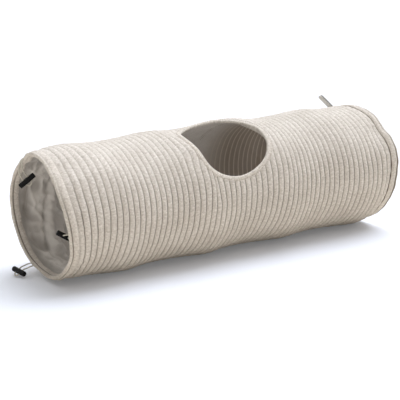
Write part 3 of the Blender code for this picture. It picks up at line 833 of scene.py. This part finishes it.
def make_sleeve(name, turns, beside):
    """A sleeve pressed round the wire's end and the turn beside it. Its section is an oval with straight
    sides, and the profile goes along the outside with two pressed dents and back along the bore."""
    share = np.linspace(-1.0, 1.0, 21)
    dents = swell(np.abs(share), SLEEVE_DENT, 0.45, 0.16)
    outside = SLEEVE_RADIUS - dents - SLEEVE_DENT * np.abs(share) ** 12
    along = np.concatenate([share, share[::-1]]) * SLEEVE_LENGTH / 2
    thick = np.concatenate([outside, np.full(21, SLEEVE_BORE)])
    turn = around(32)
    apart = np.clip(3.0 * np.cos(turn), -1.0, 1.0) * CLOSED_PITCH / 2
    middle = (wire_x(turns) + wire_x(beside)) / 2
    place = middle + apart[None] + thick[:, None] * np.cos(turn)
    angle = (FIRST_TURN_SHARE + turns) * TURN + (along / WIRE_PATH_AT_RIM)[:, None] + 0 * place
    points = settle(round_point(place, WIRE_PATH_AT_RIM + thick[:, None] * np.sin(turn), angle))
    return surface(name, points, close_rows=True, close_columns=True)


half_side = 0.5 / 24  # half of one of the plain model's 24 sides, in turns
front_sleeve = make_sleeve("front_sleeve", half_side, half_side + 1.0)
rear_sleeve = make_sleeve("rear_sleeve", ALL_TURNS - half_side, ALL_TURNS - half_side - 1.0)
print("sleeves:", len(front_sleeve.data.polygons), "quads each")

# %% Casing tape
CASING_CLOTH = 0.0006
CASING_EDGE_RISE = 0.0014
CASING_DIP = 0.0028
CASING_DIP_REACH = 0.0021
covered = np.abs(wire_line) < HEM_EDGE - SHOULDER_WIDTH
casing_across = np.array([-4.2, -3.0, -2.0, -1.2, -0.5, 0.5, 1.2, 2.0, 3.0, 4.2]) / 1000
casing_dip = CASING_DIP * np.exp(-((np.abs(casing_across) / CASING_DIP_REACH) ** 3))
casing_rise = CASING_EDGE_RISE - casing_dip
casing_across = np.concatenate([casing_across, casing_across[::-1]])
casing_rise = np.concatenate([casing_rise, casing_rise[::-1] - CASING_CLOTH])
place, angle = wire_line[covered], wire_angles[covered]
slope = LEAD / TURN / WIRE_PATH
along = tangent(angle) + np.array([slope, 0.0, 0.0])
sideways = unit(np.cross(along, radial(angle)))
centre = round_point(place, wire_radius(place), angle)
casing_points = centre[:, None] + casing_across[None, :, None] * sideways[:, None]
casing_points = settle(casing_points + casing_rise[None, :, None] * radial(angle)[:, None])
wire_tape = surface("wire_tape", casing_points, close_columns=True, caps=True)
print("casing tape:", len(casing_points), "sections")

# %% [markdown]
# ## Toggles
#
# A toggle is a small grooved barrel of black plastic with two holes side by side. It is turned: a
# profile of radius against place along the barrel, carried round. The ends are rounded and the grooves
# are shallow scallops. The holes are drilled by a Boolean modifier, which is then applied.

# %% Toggle shape
TOGGLE_LENGTH = 0.034
TOGGLE_RADIUS = 0.0050
TOGGLE_END_RADIUS = 0.0036
HOLE_SPACING = 0.010
HOLE_ROOM = 0.0005
DRILL_LENGTH = 0.03
CORD_DIAMETER = 0.0024
SCALLOP_SHARES = (0.42, 0.62, 0.82)
SCALLOP_REACH_SHARE = 0.042
SCALLOP_DEPTH = 0.00055
END_SHARE = 0.10


def toggle_radius(share):
    """Radius at a share of the half length: the barrel, less three round scallops, less a rounded end."""
    share = np.abs(share)
    radius = np.full_like(share, TOGGLE_RADIUS)
    for scallop in SCALLOP_SHARES:
        radius -= SCALLOP_DEPTH * hill(share - scallop, SCALLOP_REACH_SHARE)
    end = np.clip((share - (1.0 - END_SHARE)) / END_SHARE, 0.0, 1.0)
    return radius - (TOGGLE_RADIUS - TOGGLE_END_RADIUS) * (1.0 - np.sqrt(1.0 - end**2))


def drill(name, middle, through, radius, length):
    """A plain rod to cut a hole with."""
    bm = bmesh.new()
    bmesh.ops.create_cone(bm, segments=28, radius1=radius, radius2=radius, depth=length, cap_ends=True)
    turn = Vector((0.0, 0.0, 1.0)).rotation_difference(Vector(through)).to_matrix().to_4x4()
    bm.transform(Matrix.Translation(Vector(middle)) @ turn)
    mesh = bpy.data.meshes.new(name)
    bm.to_mesh(mesh)
    bm.free()
    return add_object(name, mesh)


def make_toggle(name, centre, along, through):
    """Turns the barrel, puts it in place, and drills its two holes. along and through are its own
    directions: lengthways, and the way that the cord goes."""
    rounded = -1.0 + END_SHARE * (1 - np.cos(np.linspace(0.15, np.pi / 2, 6)))
    shares = np.concatenate([[-1.0], rounded, np.linspace(-0.88, 0.0, 56)])
    shares = np.concatenate([shares, -shares[:-1][::-1]])
    turn = around(40)
    radius = toggle_radius(shares)[:, None]
    lengthways = in_columns(shares * TOGGLE_LENGTH / 2, len(turn))
    local = np.stack([lengthways, radius * np.cos(turn), radius * np.sin(turn)], axis=-1)
    axes = np.stack([along, through, np.cross(along, through)], axis=1)
    toggle = surface(name, local @ axes.T + centre, close_columns=True, caps=True)
    for side_of in (-0.5, 0.5):
        middle = centre + along * HOLE_SPACING * side_of
        rod = drill(f"{name}_drill", middle, through, CORD_DIAMETER / 2 + HOLE_ROOM, DRILL_LENGTH)
        cut = toggle.modifiers.new("hole", "BOOLEAN")
        cut.object = rod
        cut.operation = "DIFFERENCE"
        cut.solver = "EXACT"
        bpy.context.view_layer.update()
        worked_out = toggle.evaluated_get(bpy.context.evaluated_depsgraph_get())
        drilled = bpy.data.meshes.new_from_object(worked_out)
        toggle.modifiers.clear()
        toggle.data = drilled
        bpy.data.objects.remove(rod, do_unlink=True)
    return toggle


# %% Where the toggles hang
CORD_REACH = 0.042
FOLD_RADIUS = 0.0047
CORD_GAP = 0.0004
SIDE_STEP = TURN / 24

# name, angle where the cord leaves the hem, how far that turns from straight ahead towards the bore, both
# in degrees, the toggle's middle in shares of the reach, and the way that the toggle lies
TOGGLES = (
    ("top", 330.0, 45.0, (0.10, -0.17, -0.93), (0.71, -0.32, 0.63)),
    ("side", 97.5, 60.0, (0.13, 0.71, -0.15), (0.78, -0.36, -0.51)),
    ("bottom", 205.0, -25.0, (-0.32, 0.11, -0.20), (-0.10, 0.99, 0.10)),
)


def hem_exit(angle, lean):
    """A place just off the fold of the plain model's hem, which has 24 flat sides, and the way out of
    it."""
    beside = np.mod(angle + SIDE_STEP / 2, SIDE_STEP) - SIDE_STEP / 2
    flattened = RIM_MIDDLE * np.cos(SIDE_STEP / 2) / np.cos(beside)
    fold = round_point(FOLD_RADIUS - HALF_LENGTH, flattened, angle)
    outwards = np.array([-np.cos(lean), 0.0, 0.0]) - np.sin(lean) * radial(angle)
    return fold + outwards * (FOLD_RADIUS + CORD_GAP), outwards


toggles, toggle_places = {}, {}
for name, leaving, lean, reach, lies in TOGGLES:
    leaving, lean = np.radians(leaving), np.radians(lean)
    pivot, outwards = hem_exit(leaving, lean)
    centre = pivot + np.array(reach) * CORD_REACH
    along = unit(np.array(lies))
    back = pivot - centre
    through = unit(back - along * (back @ along))
    toggle_places[name] = (leaving, lean, centre, along, through)
    toggles[name] = make_toggle(f"toggle_{name}_bar", centre, along, through)
    print("toggle", name, "at", centre.round(4).tolist())

# %% [markdown]
# ## Elastic loops
#
# Each toggle hangs on one elastic cord that is sewn into the hem at both ends: out of the hem, through
# one hole, round the back and through the other hole. The cord is a curve with a round bevel. Each
# strand is one cubic with the place and the slope of both ends given, and the part round the back is half
# a circle. A short root joins each strand to the hem where the settled hem has drawn back from it.

# %% Elastic cords
SWEEP_SHARE = 1.2
STRAND_SPACING = 0.0080


def sweep(start, leaving, end, arriving, steps):
    """Points of a smooth bend from one place to another, with the way it points at each end."""
    t = np.linspace(0.0, 1.0, steps + 1)[:, None]
    reach = SWEEP_SHARE * np.linalg.norm(end - start)
    slopes = leaving * reach * (t**3 - 2 * t**2 + t) + arriving * reach * (t**3 - t**2)
    return start * (2 * t**3 - 3 * t**2 + 1) + end * (3 * t**2 - 2 * t**3) + slopes


def cord_curve(name, route):
    """A round cord along a route, as a curve with a bevel."""
    curve = bpy.data.curves.new(name, "CURVE")
    curve.dimensions = "3D"
    curve.bevel_depth = CORD_DIAMETER / 2
    curve.bevel_resolution = 3
    curve.use_fill_caps = True
    spline = curve.splines.new("POLY")
    spline.points.add(len(route) - 1)
    spline.points.foreach_set("co", np.column_stack([route, np.ones(len(route))]).ravel())
    spline.use_smooth = True
    return add_object(name, curve)


cords, cord_roots = {}, []
for name, (leaving, lean, centre, along, through) in toggle_places.items():
    strands = []
    for side_of in (-0.5, 0.5):
        angle = leaving + STRAND_SPACING * side_of / RIM_MIDDLE
        start, outwards = hem_exit(angle, lean)
        hole = centre + along * HOLE_SPACING * side_of + through * TOGGLE_RADIUS
        strands.append(sweep(start, outwards, hole, -through, 24))
        seat = settle(round_point(FOLD_RADIUS - HALF_LENGTH, RIM_MIDDLE, angle))
        root = sweep(seat, outwards, start + 0.0002 * outwards, outwards, 10)
        cord_roots.append(cord_curve(f"elastic_root_{name}_{len(cord_roots) % 2}", root))
    turn = np.linspace(0.0, np.pi, 17)[:, None]
    bend = (along * np.cos(turn) + through * np.sin(turn)) * HOLE_SPACING / 2
    bight = centre - through * TOGGLE_RADIUS - bend
    route = np.concatenate([strands[0], bight, strands[1][::-1]])
    length = float(step_lengths(route).sum())
    cords[name] = (cord_curve(f"elastic_{name}", route), route[0], length)
    print("elastic", name, "is", round(length, 4), "m long")

# %% [markdown]
# ## Strap loops at the far hem
#
# Each toggle goes through a loop of strap when the tunnel is folded up. A loop is one strip, folded
# double and sewn at its foot. One stands on the outside of the far hem, and the other two lie inside.
# The section is the outline of the folded strip with a little spring in the fold, carried across its width.

# %% Strap loops
KEEPER_WIDTH = 0.011
KEEPER_THICKNESS = 0.0044
STRAP_CLOTH = 0.0010
KEEPER_GAP = 0.0004
# name, angle in degrees, radius of the hem's side, the way off it, rise over run, length
KEEPERS = (
    ("top", 330.0, RIM_RADIUS, 1.0, 1.4, 0.040),
    ("side", 90.0, RIM_INNER, -1.0, -0.12, 0.035),
    ("bottom", 210.0, RIM_INNER, -1.0, -0.12, 0.035),
)


def squared_cosine(turn, power):
    """A cosine made blunt: its size to a power under one, with its own sign."""
    return np.abs(np.cos(turn)) ** power * np.sign(np.cos(turn))


def make_keeper(name, pivot, out, lean, length):
    """A folded strap. The outline is two straight runs and two round ends. The outer and the inner outline
    and both rounded edges make one closed section across the strip's width."""
    outline_turn = np.linspace(0.0, TURN, 65)[:-1]
    half = (length - KEEPER_THICKNESS) / 2
    bow = squared_cosine(outline_turn, 0.35)
    section_turn = np.linspace(0.0, TURN, 17)[:-1]
    width = KEEPER_WIDTH / 2 * squared_cosine(section_turn, 0.25)
    depth = STRAP_CLOTH / 2 * np.sin(section_turn)
    middle = KEEPER_THICKNESS / 2 - STRAP_CLOTH / 2
    reach = half * bow + (middle + depth[:, None]) * np.cos(outline_turn)
    rise = (middle + depth[:, None]) * np.sin(outline_turn)
    points = pivot + lean * half + reach[..., None] * lean + rise[..., None] * out
    points = points + in_columns(width, len(outline_turn))[..., None] * np.cross(out, lean)
    return surface(name, points, close_rows=True, close_columns=True)


keepers = {}
for name, angle, seat_radius, way, rise_share, length in KEEPERS:
    angle = np.radians(angle)
    seat = seat_radius * np.cos(SIDE_STEP / 2) + way * (KEEPER_GAP + KEEPER_THICKNESS / 2)
    pivot = round_point(HEM_EDGE + 0.0020, seat, angle)
    lean = unit(radial(angle) * rise_share + np.array([-1.0, 0.0, 0.0]))
    out = unit(np.cross(lean, tangent(angle)))
    keepers[name] = make_keeper(f"strap_loop_{name}", pivot, out, lean, length)
    print("strap loop", name, "at", pivot.round(4).tolist())

# %% [markdown]
# ## Stitches
#
# Rows of thread hold the hems, the binding and the seams of the lining. A stitch is a short bead with
# pointed ends, thirty triangles, and one mesh holds a whole row. Each stitch lies along its seam,
# half sunk into the cloth.

# %% Stitch rows
STITCH_PITCH = 0.0038
STITCH_SHARES = np.array([-1.0, -0.62, 0.0, 0.62, 1.0])
STITCH_WIDTHS = np.array([0.0, 0.80, 1.0, 0.80, 0.0])
STITCH_HALF = STITCH_PITCH * 0.40
STITCH_DIP = 0.00025
THREAD_RADIUS = 0.00036


def stitch_row(name, path, outwards):
    """Beads at even steps along a path of many points. outwards is the way out of the cloth at each
    point."""
    run = np.concatenate([[0.0], np.cumsum(step_lengths(path))])
    count = int(run[-1] / STITCH_PITCH)
    at = (np.arange(count) + 0.5) * run[-1] / count

    def follow(lengths, line):
        return np.stack([np.interp(lengths, run, line[:, k]) for k in range(3)], axis=1)

    along = unit(follow(at + 0.001, path) - follow(at - 0.001, path))
    out = follow(at, outwards)
    out = unit(out - along * np.sum(out * along, axis=1, keepdims=True))
    turn = around(5)[:, None, None]
    ring = np.cos(turn) * out + np.sin(turn) * np.cross(along, out)
    share, width = STITCH_SHARES[:, None, None, None], STITCH_WIDTHS[:, None, None, None]
    points = follow(at, path) + share * STITCH_HALF * along + THREAD_RADIUS * width * ring
    points = (points - STITCH_DIP * share**2 * out).transpose(2, 0, 1, 3).reshape(-1, 3)
    beads, i, j = np.meshgrid(np.arange(count), np.arange(4), np.arange(5), indexing="ij")
    first, j_next = beads * 25 + i * 5, (j + 1) % 5
    quads = np.stack([first + j, first + 5 + j, first + 5 + j_next, first + j_next], axis=-1)
    mesh = bpy.data.meshes.new(name)
    mesh.from_pydata(points, [], quads.reshape(-1, 4).tolist())
    bm = bmesh.new()
    bm.from_mesh(mesh)
    bmesh.ops.remove_doubles(bm, verts=bm.verts, dist=1e-7)
    bmesh.ops.recalc_face_normals(bm, faces=bm.faces)
    bm.to_mesh(mesh)
    bm.free()
    mesh.shade_smooth()
    return add_object(name, mesh)


STITCH_SINK = 0.0001
HOLE_SEAM_INSET = 0.0068
LINING_SEAM_GAP = 0.0060
turn = np.linspace(0.0, TURN, 721)
stitches_front, stitches_rear, stitches_between = [], [], []
outer_seam, inner_seam = RIM_RADIUS - HEM_GROUND - STITCH_SINK, RIM_INNER + HEM_GROUND + STITCH_SINK
for end, side, rows in (("front", -1, stitches_front), ("rear", 1, stitches_rear)):
    for number, (radius, way) in enumerate(((outer_seam, 1.0), (inner_seam, -1.0))):
        seam = settle(round_point(side * (HALF_LENGTH - HEM_GROOVE), radius, turn))
        rows.append(stitch_row(f"{end}_hem_seam_{number}", seam, way * radial(turn)))

across = HOLE_RADIUS + HOLE_SEAM_INSET + hole_wander(turn)
for number, (side_share, height, way) in enumerate(((1.0, TOP_PUFF, 1.0), (0.0, -UNDER_PUFF, -1.0))):
    seam = binding_point(across, turn, side_share, height)
    out = way * radial(hole_place(across, turn)[1])
    stitches_between.append(stitch_row(f"peephole_seam_{number}", seam, out))

inside = np.abs(wire_line) < HEM_EDGE - 0.006
for number, offset in enumerate((-LINING_SEAM_GAP / 2, LINING_SEAM_GAP / 2)):
    place, angle = wire_line[inside] + offset, wire_angles[inside]
    seam = settle(round_point(place, lining_inner(place, angle) + STITCH_SINK, angle))
    away = hole_distance(place, angle) > HOLE_RADIUS + HOLE_HEM + 0.001
    breaks = np.flatnonzero(np.diff(away.astype(int))) + 1
    for part, run in enumerate(np.split(np.arange(len(away)), breaks)):
        if away[run[0]] and len(run) > 3:
            row = stitch_row(f"lining_seam_{number}_{part}", seam[run], -radial(angle[run]))
            stitches_between.append(row)
all_stitches = stitches_front + stitches_rear + stitches_between
print("stitches:", sum(len(row.data.vertices) for row in all_stitches) // 17)

# %% [markdown]
# ## Finishes
#
# Cloth follows its surface, so its patterns read the UV map called cloth, which is in metres, and the
# numbers kept with the points. In the corduroy the grooves are painted darker than the crowns as shade,
# and this painted shade pales on the upper side of the tunnel as painted light, where light from above
# falls into them. The pile is mottled where it leans, and a sheen pales it at a glancing look, as pile does.

# %% Corduroy finish


def cloth_coordinates(tree, scale_u, scale_v):
    """The cloth map, stretched so that one unit is one thread or tuft."""
    uv = node(tree, "ShaderNodeUVMap", uv_map="cloth")
    sockets = [("Vector", uv.outputs[0]), ("Scale", (scale_u, scale_v, 1.0))]
    return node(tree, "ShaderNodeMapping", sockets).outputs[0]


def noise(tree, place, scale=1.0, detail=3.0):
    """Cloudy numbers about one half, from a place on the cloth or in space."""
    sockets = [("Vector", place), ("Scale", scale), ("Detail", detail)]
    return node(tree, "ShaderNodeTexNoise", sockets).outputs["Fac"]


def bump(tree, height, strength, distance, under=None):
    """A normal bent by a height. under is the normal of a coarser bump."""
    sockets = [("Height", height), ("Strength", strength), ("Distance", distance)]
    sockets += [("Normal", under)] if under is not None else []
    return node(tree, "ShaderNodeBump", sockets).outputs[0]


def kept_number(tree, name):
    """The number of that name that goes with each point of the mesh."""
    return node(tree, "ShaderNodeAttribute", attribute_name=name).outputs["Fac"]


def corduroy_finish(name, crown, shaded_groove):
    """Cream corduroy, from the height of the pile, blotches of the dye, and tufts of the pile. The grooves
    are painted dark as shade, and paler on the upper side as painted light, where light falls into them.
    """
    material, tree, shader = new_material(
        name, Specular_IOR_Level=0.10, Sheen_Weight=0.30, Sheen_Roughness=0.42,
        Sheen_Tint=colour(1.0, 1.0, 1.0),
    )
    tufts = noise(tree, cloth_coordinates(tree, 420.0, 700.0))
    lean = noise(tree, cloth_coordinates(tree, 170.0, 260.0), detail=2.5)
    blotches = noise(tree, cloth_coordinates(tree, 12.0, 22.0))
    ragged = maths(tree, "ADD", kept_number(tree, "pile"), map_range(tree, lean, 0.30, 0.70, -0.12, 0.12))
    height = map_range(tree, ragged, 0.02, 0.55, 0.0, 1.0)
    # painted light: the painted shade of the grooves pales on the upper side of the tunnel, where light from
    # above falls into them
    painted_groove_light = map_range(tree, kept_number(tree, "upward"), 0.15, 0.75, 0.0, 0.88)
    painted_groove_shade = blend_colours(tree, painted_groove_light, shaded_groove, crown)
    ground = blend_colours(tree, height, painted_groove_shade, crown)
    for cloud, low, high, most, tint in (
        (blotches, 0.38, 0.66, 0.75, colour(0.91, 0.90, 0.89)),
        (lean, 0.36, 0.64, 1.0, colour(0.80, 0.785, 0.77)),
        (tufts, 0.34, 0.66, 1.0, colour(0.78, 0.765, 0.75)),
    ):
        ground = blend_colours(tree, map_range(tree, cloud, low, high, 0.0, most), ground, tint, "MULTIPLY")
    tree.links.new(ground, shader.inputs["Base Color"])
    tree.links.new(map_range(tree, lean, 0.3, 0.7, 0.86, 0.98), shader.inputs["Roughness"])
    tree.links.new(bump(tree, tufts, 0.7, 0.0008, bump(tree, lean, 0.8, 0.0018)), shader.inputs["Normal"])
    return material


# the last colour of each finish is the painted shade in its grooves
cream_corduroy = corduroy_finish("cream_corduroy", colour(0.92, 0.88, 0.85), colour(0.22, 0.185, 0.15))
cream_hem = corduroy_finish("cream_hem", colour(0.90, 0.855, 0.815), colour(0.21, 0.175, 0.14))
print("finish:", cream_corduroy.name, "and", cream_hem.name)

# %% [markdown]
# The lining is a plain weave: two sets of fine waves, one across the other. Towards the near mouth its
# creases are painted darker as shade and the folds lifted from them paler as painted light. Past the hole
# it is painted darker and browner as shade, deep in the tunnel. The grooves of the corduroy let a little
# light through, so there faint pale lines of painted light repeat the pitch of the wales.

# %% Woven finishes


def weave(tree, thread_u, thread_v):
    """Height of a plain weave: one wave along, one across, multiplied. The thread widths are in metres."""
    coordinates = cloth_coordinates(tree, 1.0, 1.0)
    waves = []
    for direction, thread in (("X", thread_u), ("Y", thread_v)):
        sockets = [("Vector", coordinates), ("Scale", 0.3142 / thread), ("Distortion", 0.4), ("Detail", 1.0)]
        wave = node(tree, "ShaderNodeTexWave", sockets, wave_type="BANDS", bands_direction=direction)
        waves.append(wave.outputs["Fac"])
    return maths(tree, "MULTIPLY", *waves)


def woven_finish(name, thread_colour, gap_colour, thread_u, thread_v, depth, roughness):
    """A woven cloth whose gaps are darker than its threads, with a soft mottle."""
    looks = dict(Roughness=roughness, Specular_IOR_Level=0.25, Sheen_Weight=0.12)
    material, tree, shader = new_material(name, **looks)
    height = weave(tree, thread_u, thread_v)
    mottle = map_range(tree, noise(tree, cloth_coordinates(tree, 40.0, 40.0)), 0.35, 0.65, 0.0, 0.5)
    threads = blend_colours(tree, map_range(tree, height, 0.0, 0.6, 0.0, 1.0), gap_colour, thread_colour)
    threads = blend_colours(tree, mottle, threads, colour(0.86, 0.85, 0.84), "MULTIPLY")
    tree.links.new(threads, shader.inputs["Base Color"])
    tree.links.new(bump(tree, height, 0.5, depth), shader.inputs["Normal"])
    return material, tree, shader, threads


grey_lining, tree, shader, threads = woven_finish(
    "grey_lining", colour(0.96, 0.935, 0.915), colour(0.70, 0.68, 0.665), 0.0011, 0.0011, 0.00025, 0.44
)
# painted shade in the creases towards the near mouth, and painted light on the folds
fold_light_share = map_range(tree, kept_number(tree, "lift"), 0.12, 0.75, 0.0, 1.0)
shade = blend_colours(tree, fold_light_share, colour(0.52, 0.505, 0.495), colour(1.04, 1.035, 1.03))
threads = blend_colours(tree, 1.0, threads, shade, "MULTIPLY")
# painted shade: darker and browner deep in the tunnel, past the hole
depth = kept_number(tree, "depth")
deep_shaded_threads = blend_colours(tree, depth, threads, colour(0.44, 0.385, 0.335))
# painted light: faint pale lines at the pitch of the wales there, for light through the corduroy's grooves
share = maths(tree, "FRACT", kept_number(tree, "ribs"))
off = maths(tree, "ABSOLUTE", maths(tree, "SUBTRACT", share, 0.5))
line = maths(tree, "MULTIPLY", map_range(tree, off, 0.34, 0.47, 0.0, 0.9), depth)
lit = blend_colours(tree, line, deep_shaded_threads, colour(0.80, 0.73, 0.66))
tree.links.new(lit, shader.inputs["Base Color"])

tape_cloth = woven_finish(
    "tape_cloth", colour(0.20, 0.19, 0.175), colour(0.10, 0.095, 0.09), 0.0009, 0.0009, 0.0002, 0.85
)[0]
pale_webbing = woven_finish(
    "pale_webbing", colour(0.86, 0.86, 0.85), colour(0.60, 0.60, 0.59), 0.0014, 0.0010, 0.0003, 0.78
)[0]
print("finishes:", grey_lining.name, tape_cloth.name, pale_webbing.name)

# %% Steel, plastic, elastic and thread


def speckled_finish(name, base, second, grain, roughness, spread, depth, **values):
    """A finish from one noise in the object's own space, which mottles the colour, the roughness and the
    bump."""
    material, tree, shader = new_material(name, **values)
    place = node(tree, "ShaderNodeTexCoord").outputs["Object"]
    specks = noise(tree, place, grain)
    mixed = blend_colours(tree, map_range(tree, specks, 0.35, 0.65, 0.0, 1.0), base, second)
    rough = map_range(tree, specks, 0.3, 0.7, roughness, roughness + spread)
    bumpy = bump(tree, specks, 0.3, depth)
    tree.links.new(mixed, shader.inputs["Base Color"])
    tree.links.new(rough, shader.inputs["Roughness"])
    tree.links.new(bumpy, shader.inputs["Normal"])
    return material, tree, shader, bumpy


spring_steel = speckled_finish(
    "spring_steel", colour(0.55, 0.55, 0.56), colour(0.42, 0.42, 0.43), 900.0, 0.28, 0.15, 0.00004,
    Metallic=1.0,
)[0]
sleeve_steel = speckled_finish(
    "sleeve_steel", colour(0.60, 0.60, 0.60), colour(0.46, 0.46, 0.46), 700.0, 0.38, 0.15, 0.00006,
    Metallic=1.0,
)[0]
black_plastic = speckled_finish(
    "black_plastic", colour(0.005, 0.005, 0.005), colour(0.010, 0.009, 0.009), 1500.0, 0.46, 0.16, 0.00005,
    Specular_IOR_Level=0.14,
)[0]
thread = speckled_finish(
    "thread", colour(0.40, 0.35, 0.29), colour(0.30, 0.26, 0.21), 1800.0, 0.70, 0.15, 0.0001
)[0]
pale_elastic, tree, shader, bumpy = speckled_finish(
    "pale_elastic", colour(0.70, 0.68, 0.62), colour(0.55, 0.52, 0.46), 1300.0, 0.72, 0.12, 0.0001
)
place = node(tree, "ShaderNodeTexCoord").outputs["Object"]
sockets = [("Vector", place), ("Scale", 190.0), ("Distortion", 1.5)]
braid = node(tree, "ShaderNodeTexWave", sockets, wave_type="BANDS", bands_direction="DIAGONAL")
tree.links.new(bump(tree, braid.outputs["Fac"], 0.5, 0.0003, bumpy), shader.inputs["Normal"])
print("finishes:", spring_steel.name, sleeve_steel.name, black_plastic.name, pale_elastic.name, thread.name)

# %% Dress the pieces
dressing = {
    cream_corduroy: [shell_cloth],
    cream_hem: [front_hem, rear_hem, peephole_hem],
    grey_lining: [lining_cloth],
    spring_steel: [steel_wire, front_ring, rear_ring],
    tape_cloth: [wire_tape],
    sleeve_steel: [front_sleeve, rear_sleeve],
    black_plastic: list(toggles.values()),
    pale_elastic: [cord for cord, start, length in cords.values()] + cord_roots,
    pale_webbing: list(keepers.values()),
    thread: all_stitches,
}
for finish, pieces in dressing.items():
    for piece in pieces:
        piece.data.materials.clear()
        piece.data.materials.append(finish)
print("dressed:", sum(len(pieces) for pieces in dressing.values()), "pieces")

# %% [markdown]
# ## What each piece moves with
#
# The front pieces move with the near end, and the far hem slides along the tunnel when it is pushed
# flat. The cloth and the wire between the two ends each get a mesh of their own.

# %% Riding, replacing and own meshes
# piece, body, solid that it stands for, slot
riding = [
    (shell_cloth, "front_end", "outer_shell", "corduroy"),
    (lining_cloth, "front_end", "lining", "lining_cloth"),
    (steel_wire, "front_end", "spring_wire", "spring_steel"),
    (wire_tape, "front_end", "wire_casing", "casing_tape"),
    (peephole_hem, "front_end", "peephole_binding", "hem_cloth"),
    (front_ring, "front_end", None, "spring_steel"),
    (rear_ring, "rear_end", None, "spring_steel"),
    (front_hem, "front_end", "front_rim_binding", "hem_cloth"),
    (rear_hem, "rear_end", "rear_rim_binding", "hem_cloth"),
    (front_sleeve, "front_end", "front_wire_sleeve", "sleeve_steel"),
    (rear_sleeve, "rear_end", "rear_wire_sleeve", "sleeve_steel"),
]
for row in all_stitches:
    riding.append((row, "rear_end" if row in stitches_rear else "front_end", None, "hem_cloth"))
riding += [(root, "front_end", None, "elastic") for root in cord_roots]
for name in ("top", "side", "bottom"):
    riding.append((toggles[name], f"toggle_bar_{name}", f"toggle_{name}", "black_plastic"))
    riding.append((cords[name][0], f"toggle_loop_{name}", f"toggle_cord_{name}", "elastic"))
    riding.append((keepers[name], f"keeper_loop_{name}", f"keeper_{name}", "webbing"))
for piece, body, solid, slot in riding:
    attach(piece, body)
    if solid:
        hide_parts(solid)
for piece in (shell_cloth, lining_cloth, steel_wire, wire_tape, peephole_hem, *stitches_between):
    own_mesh(piece)
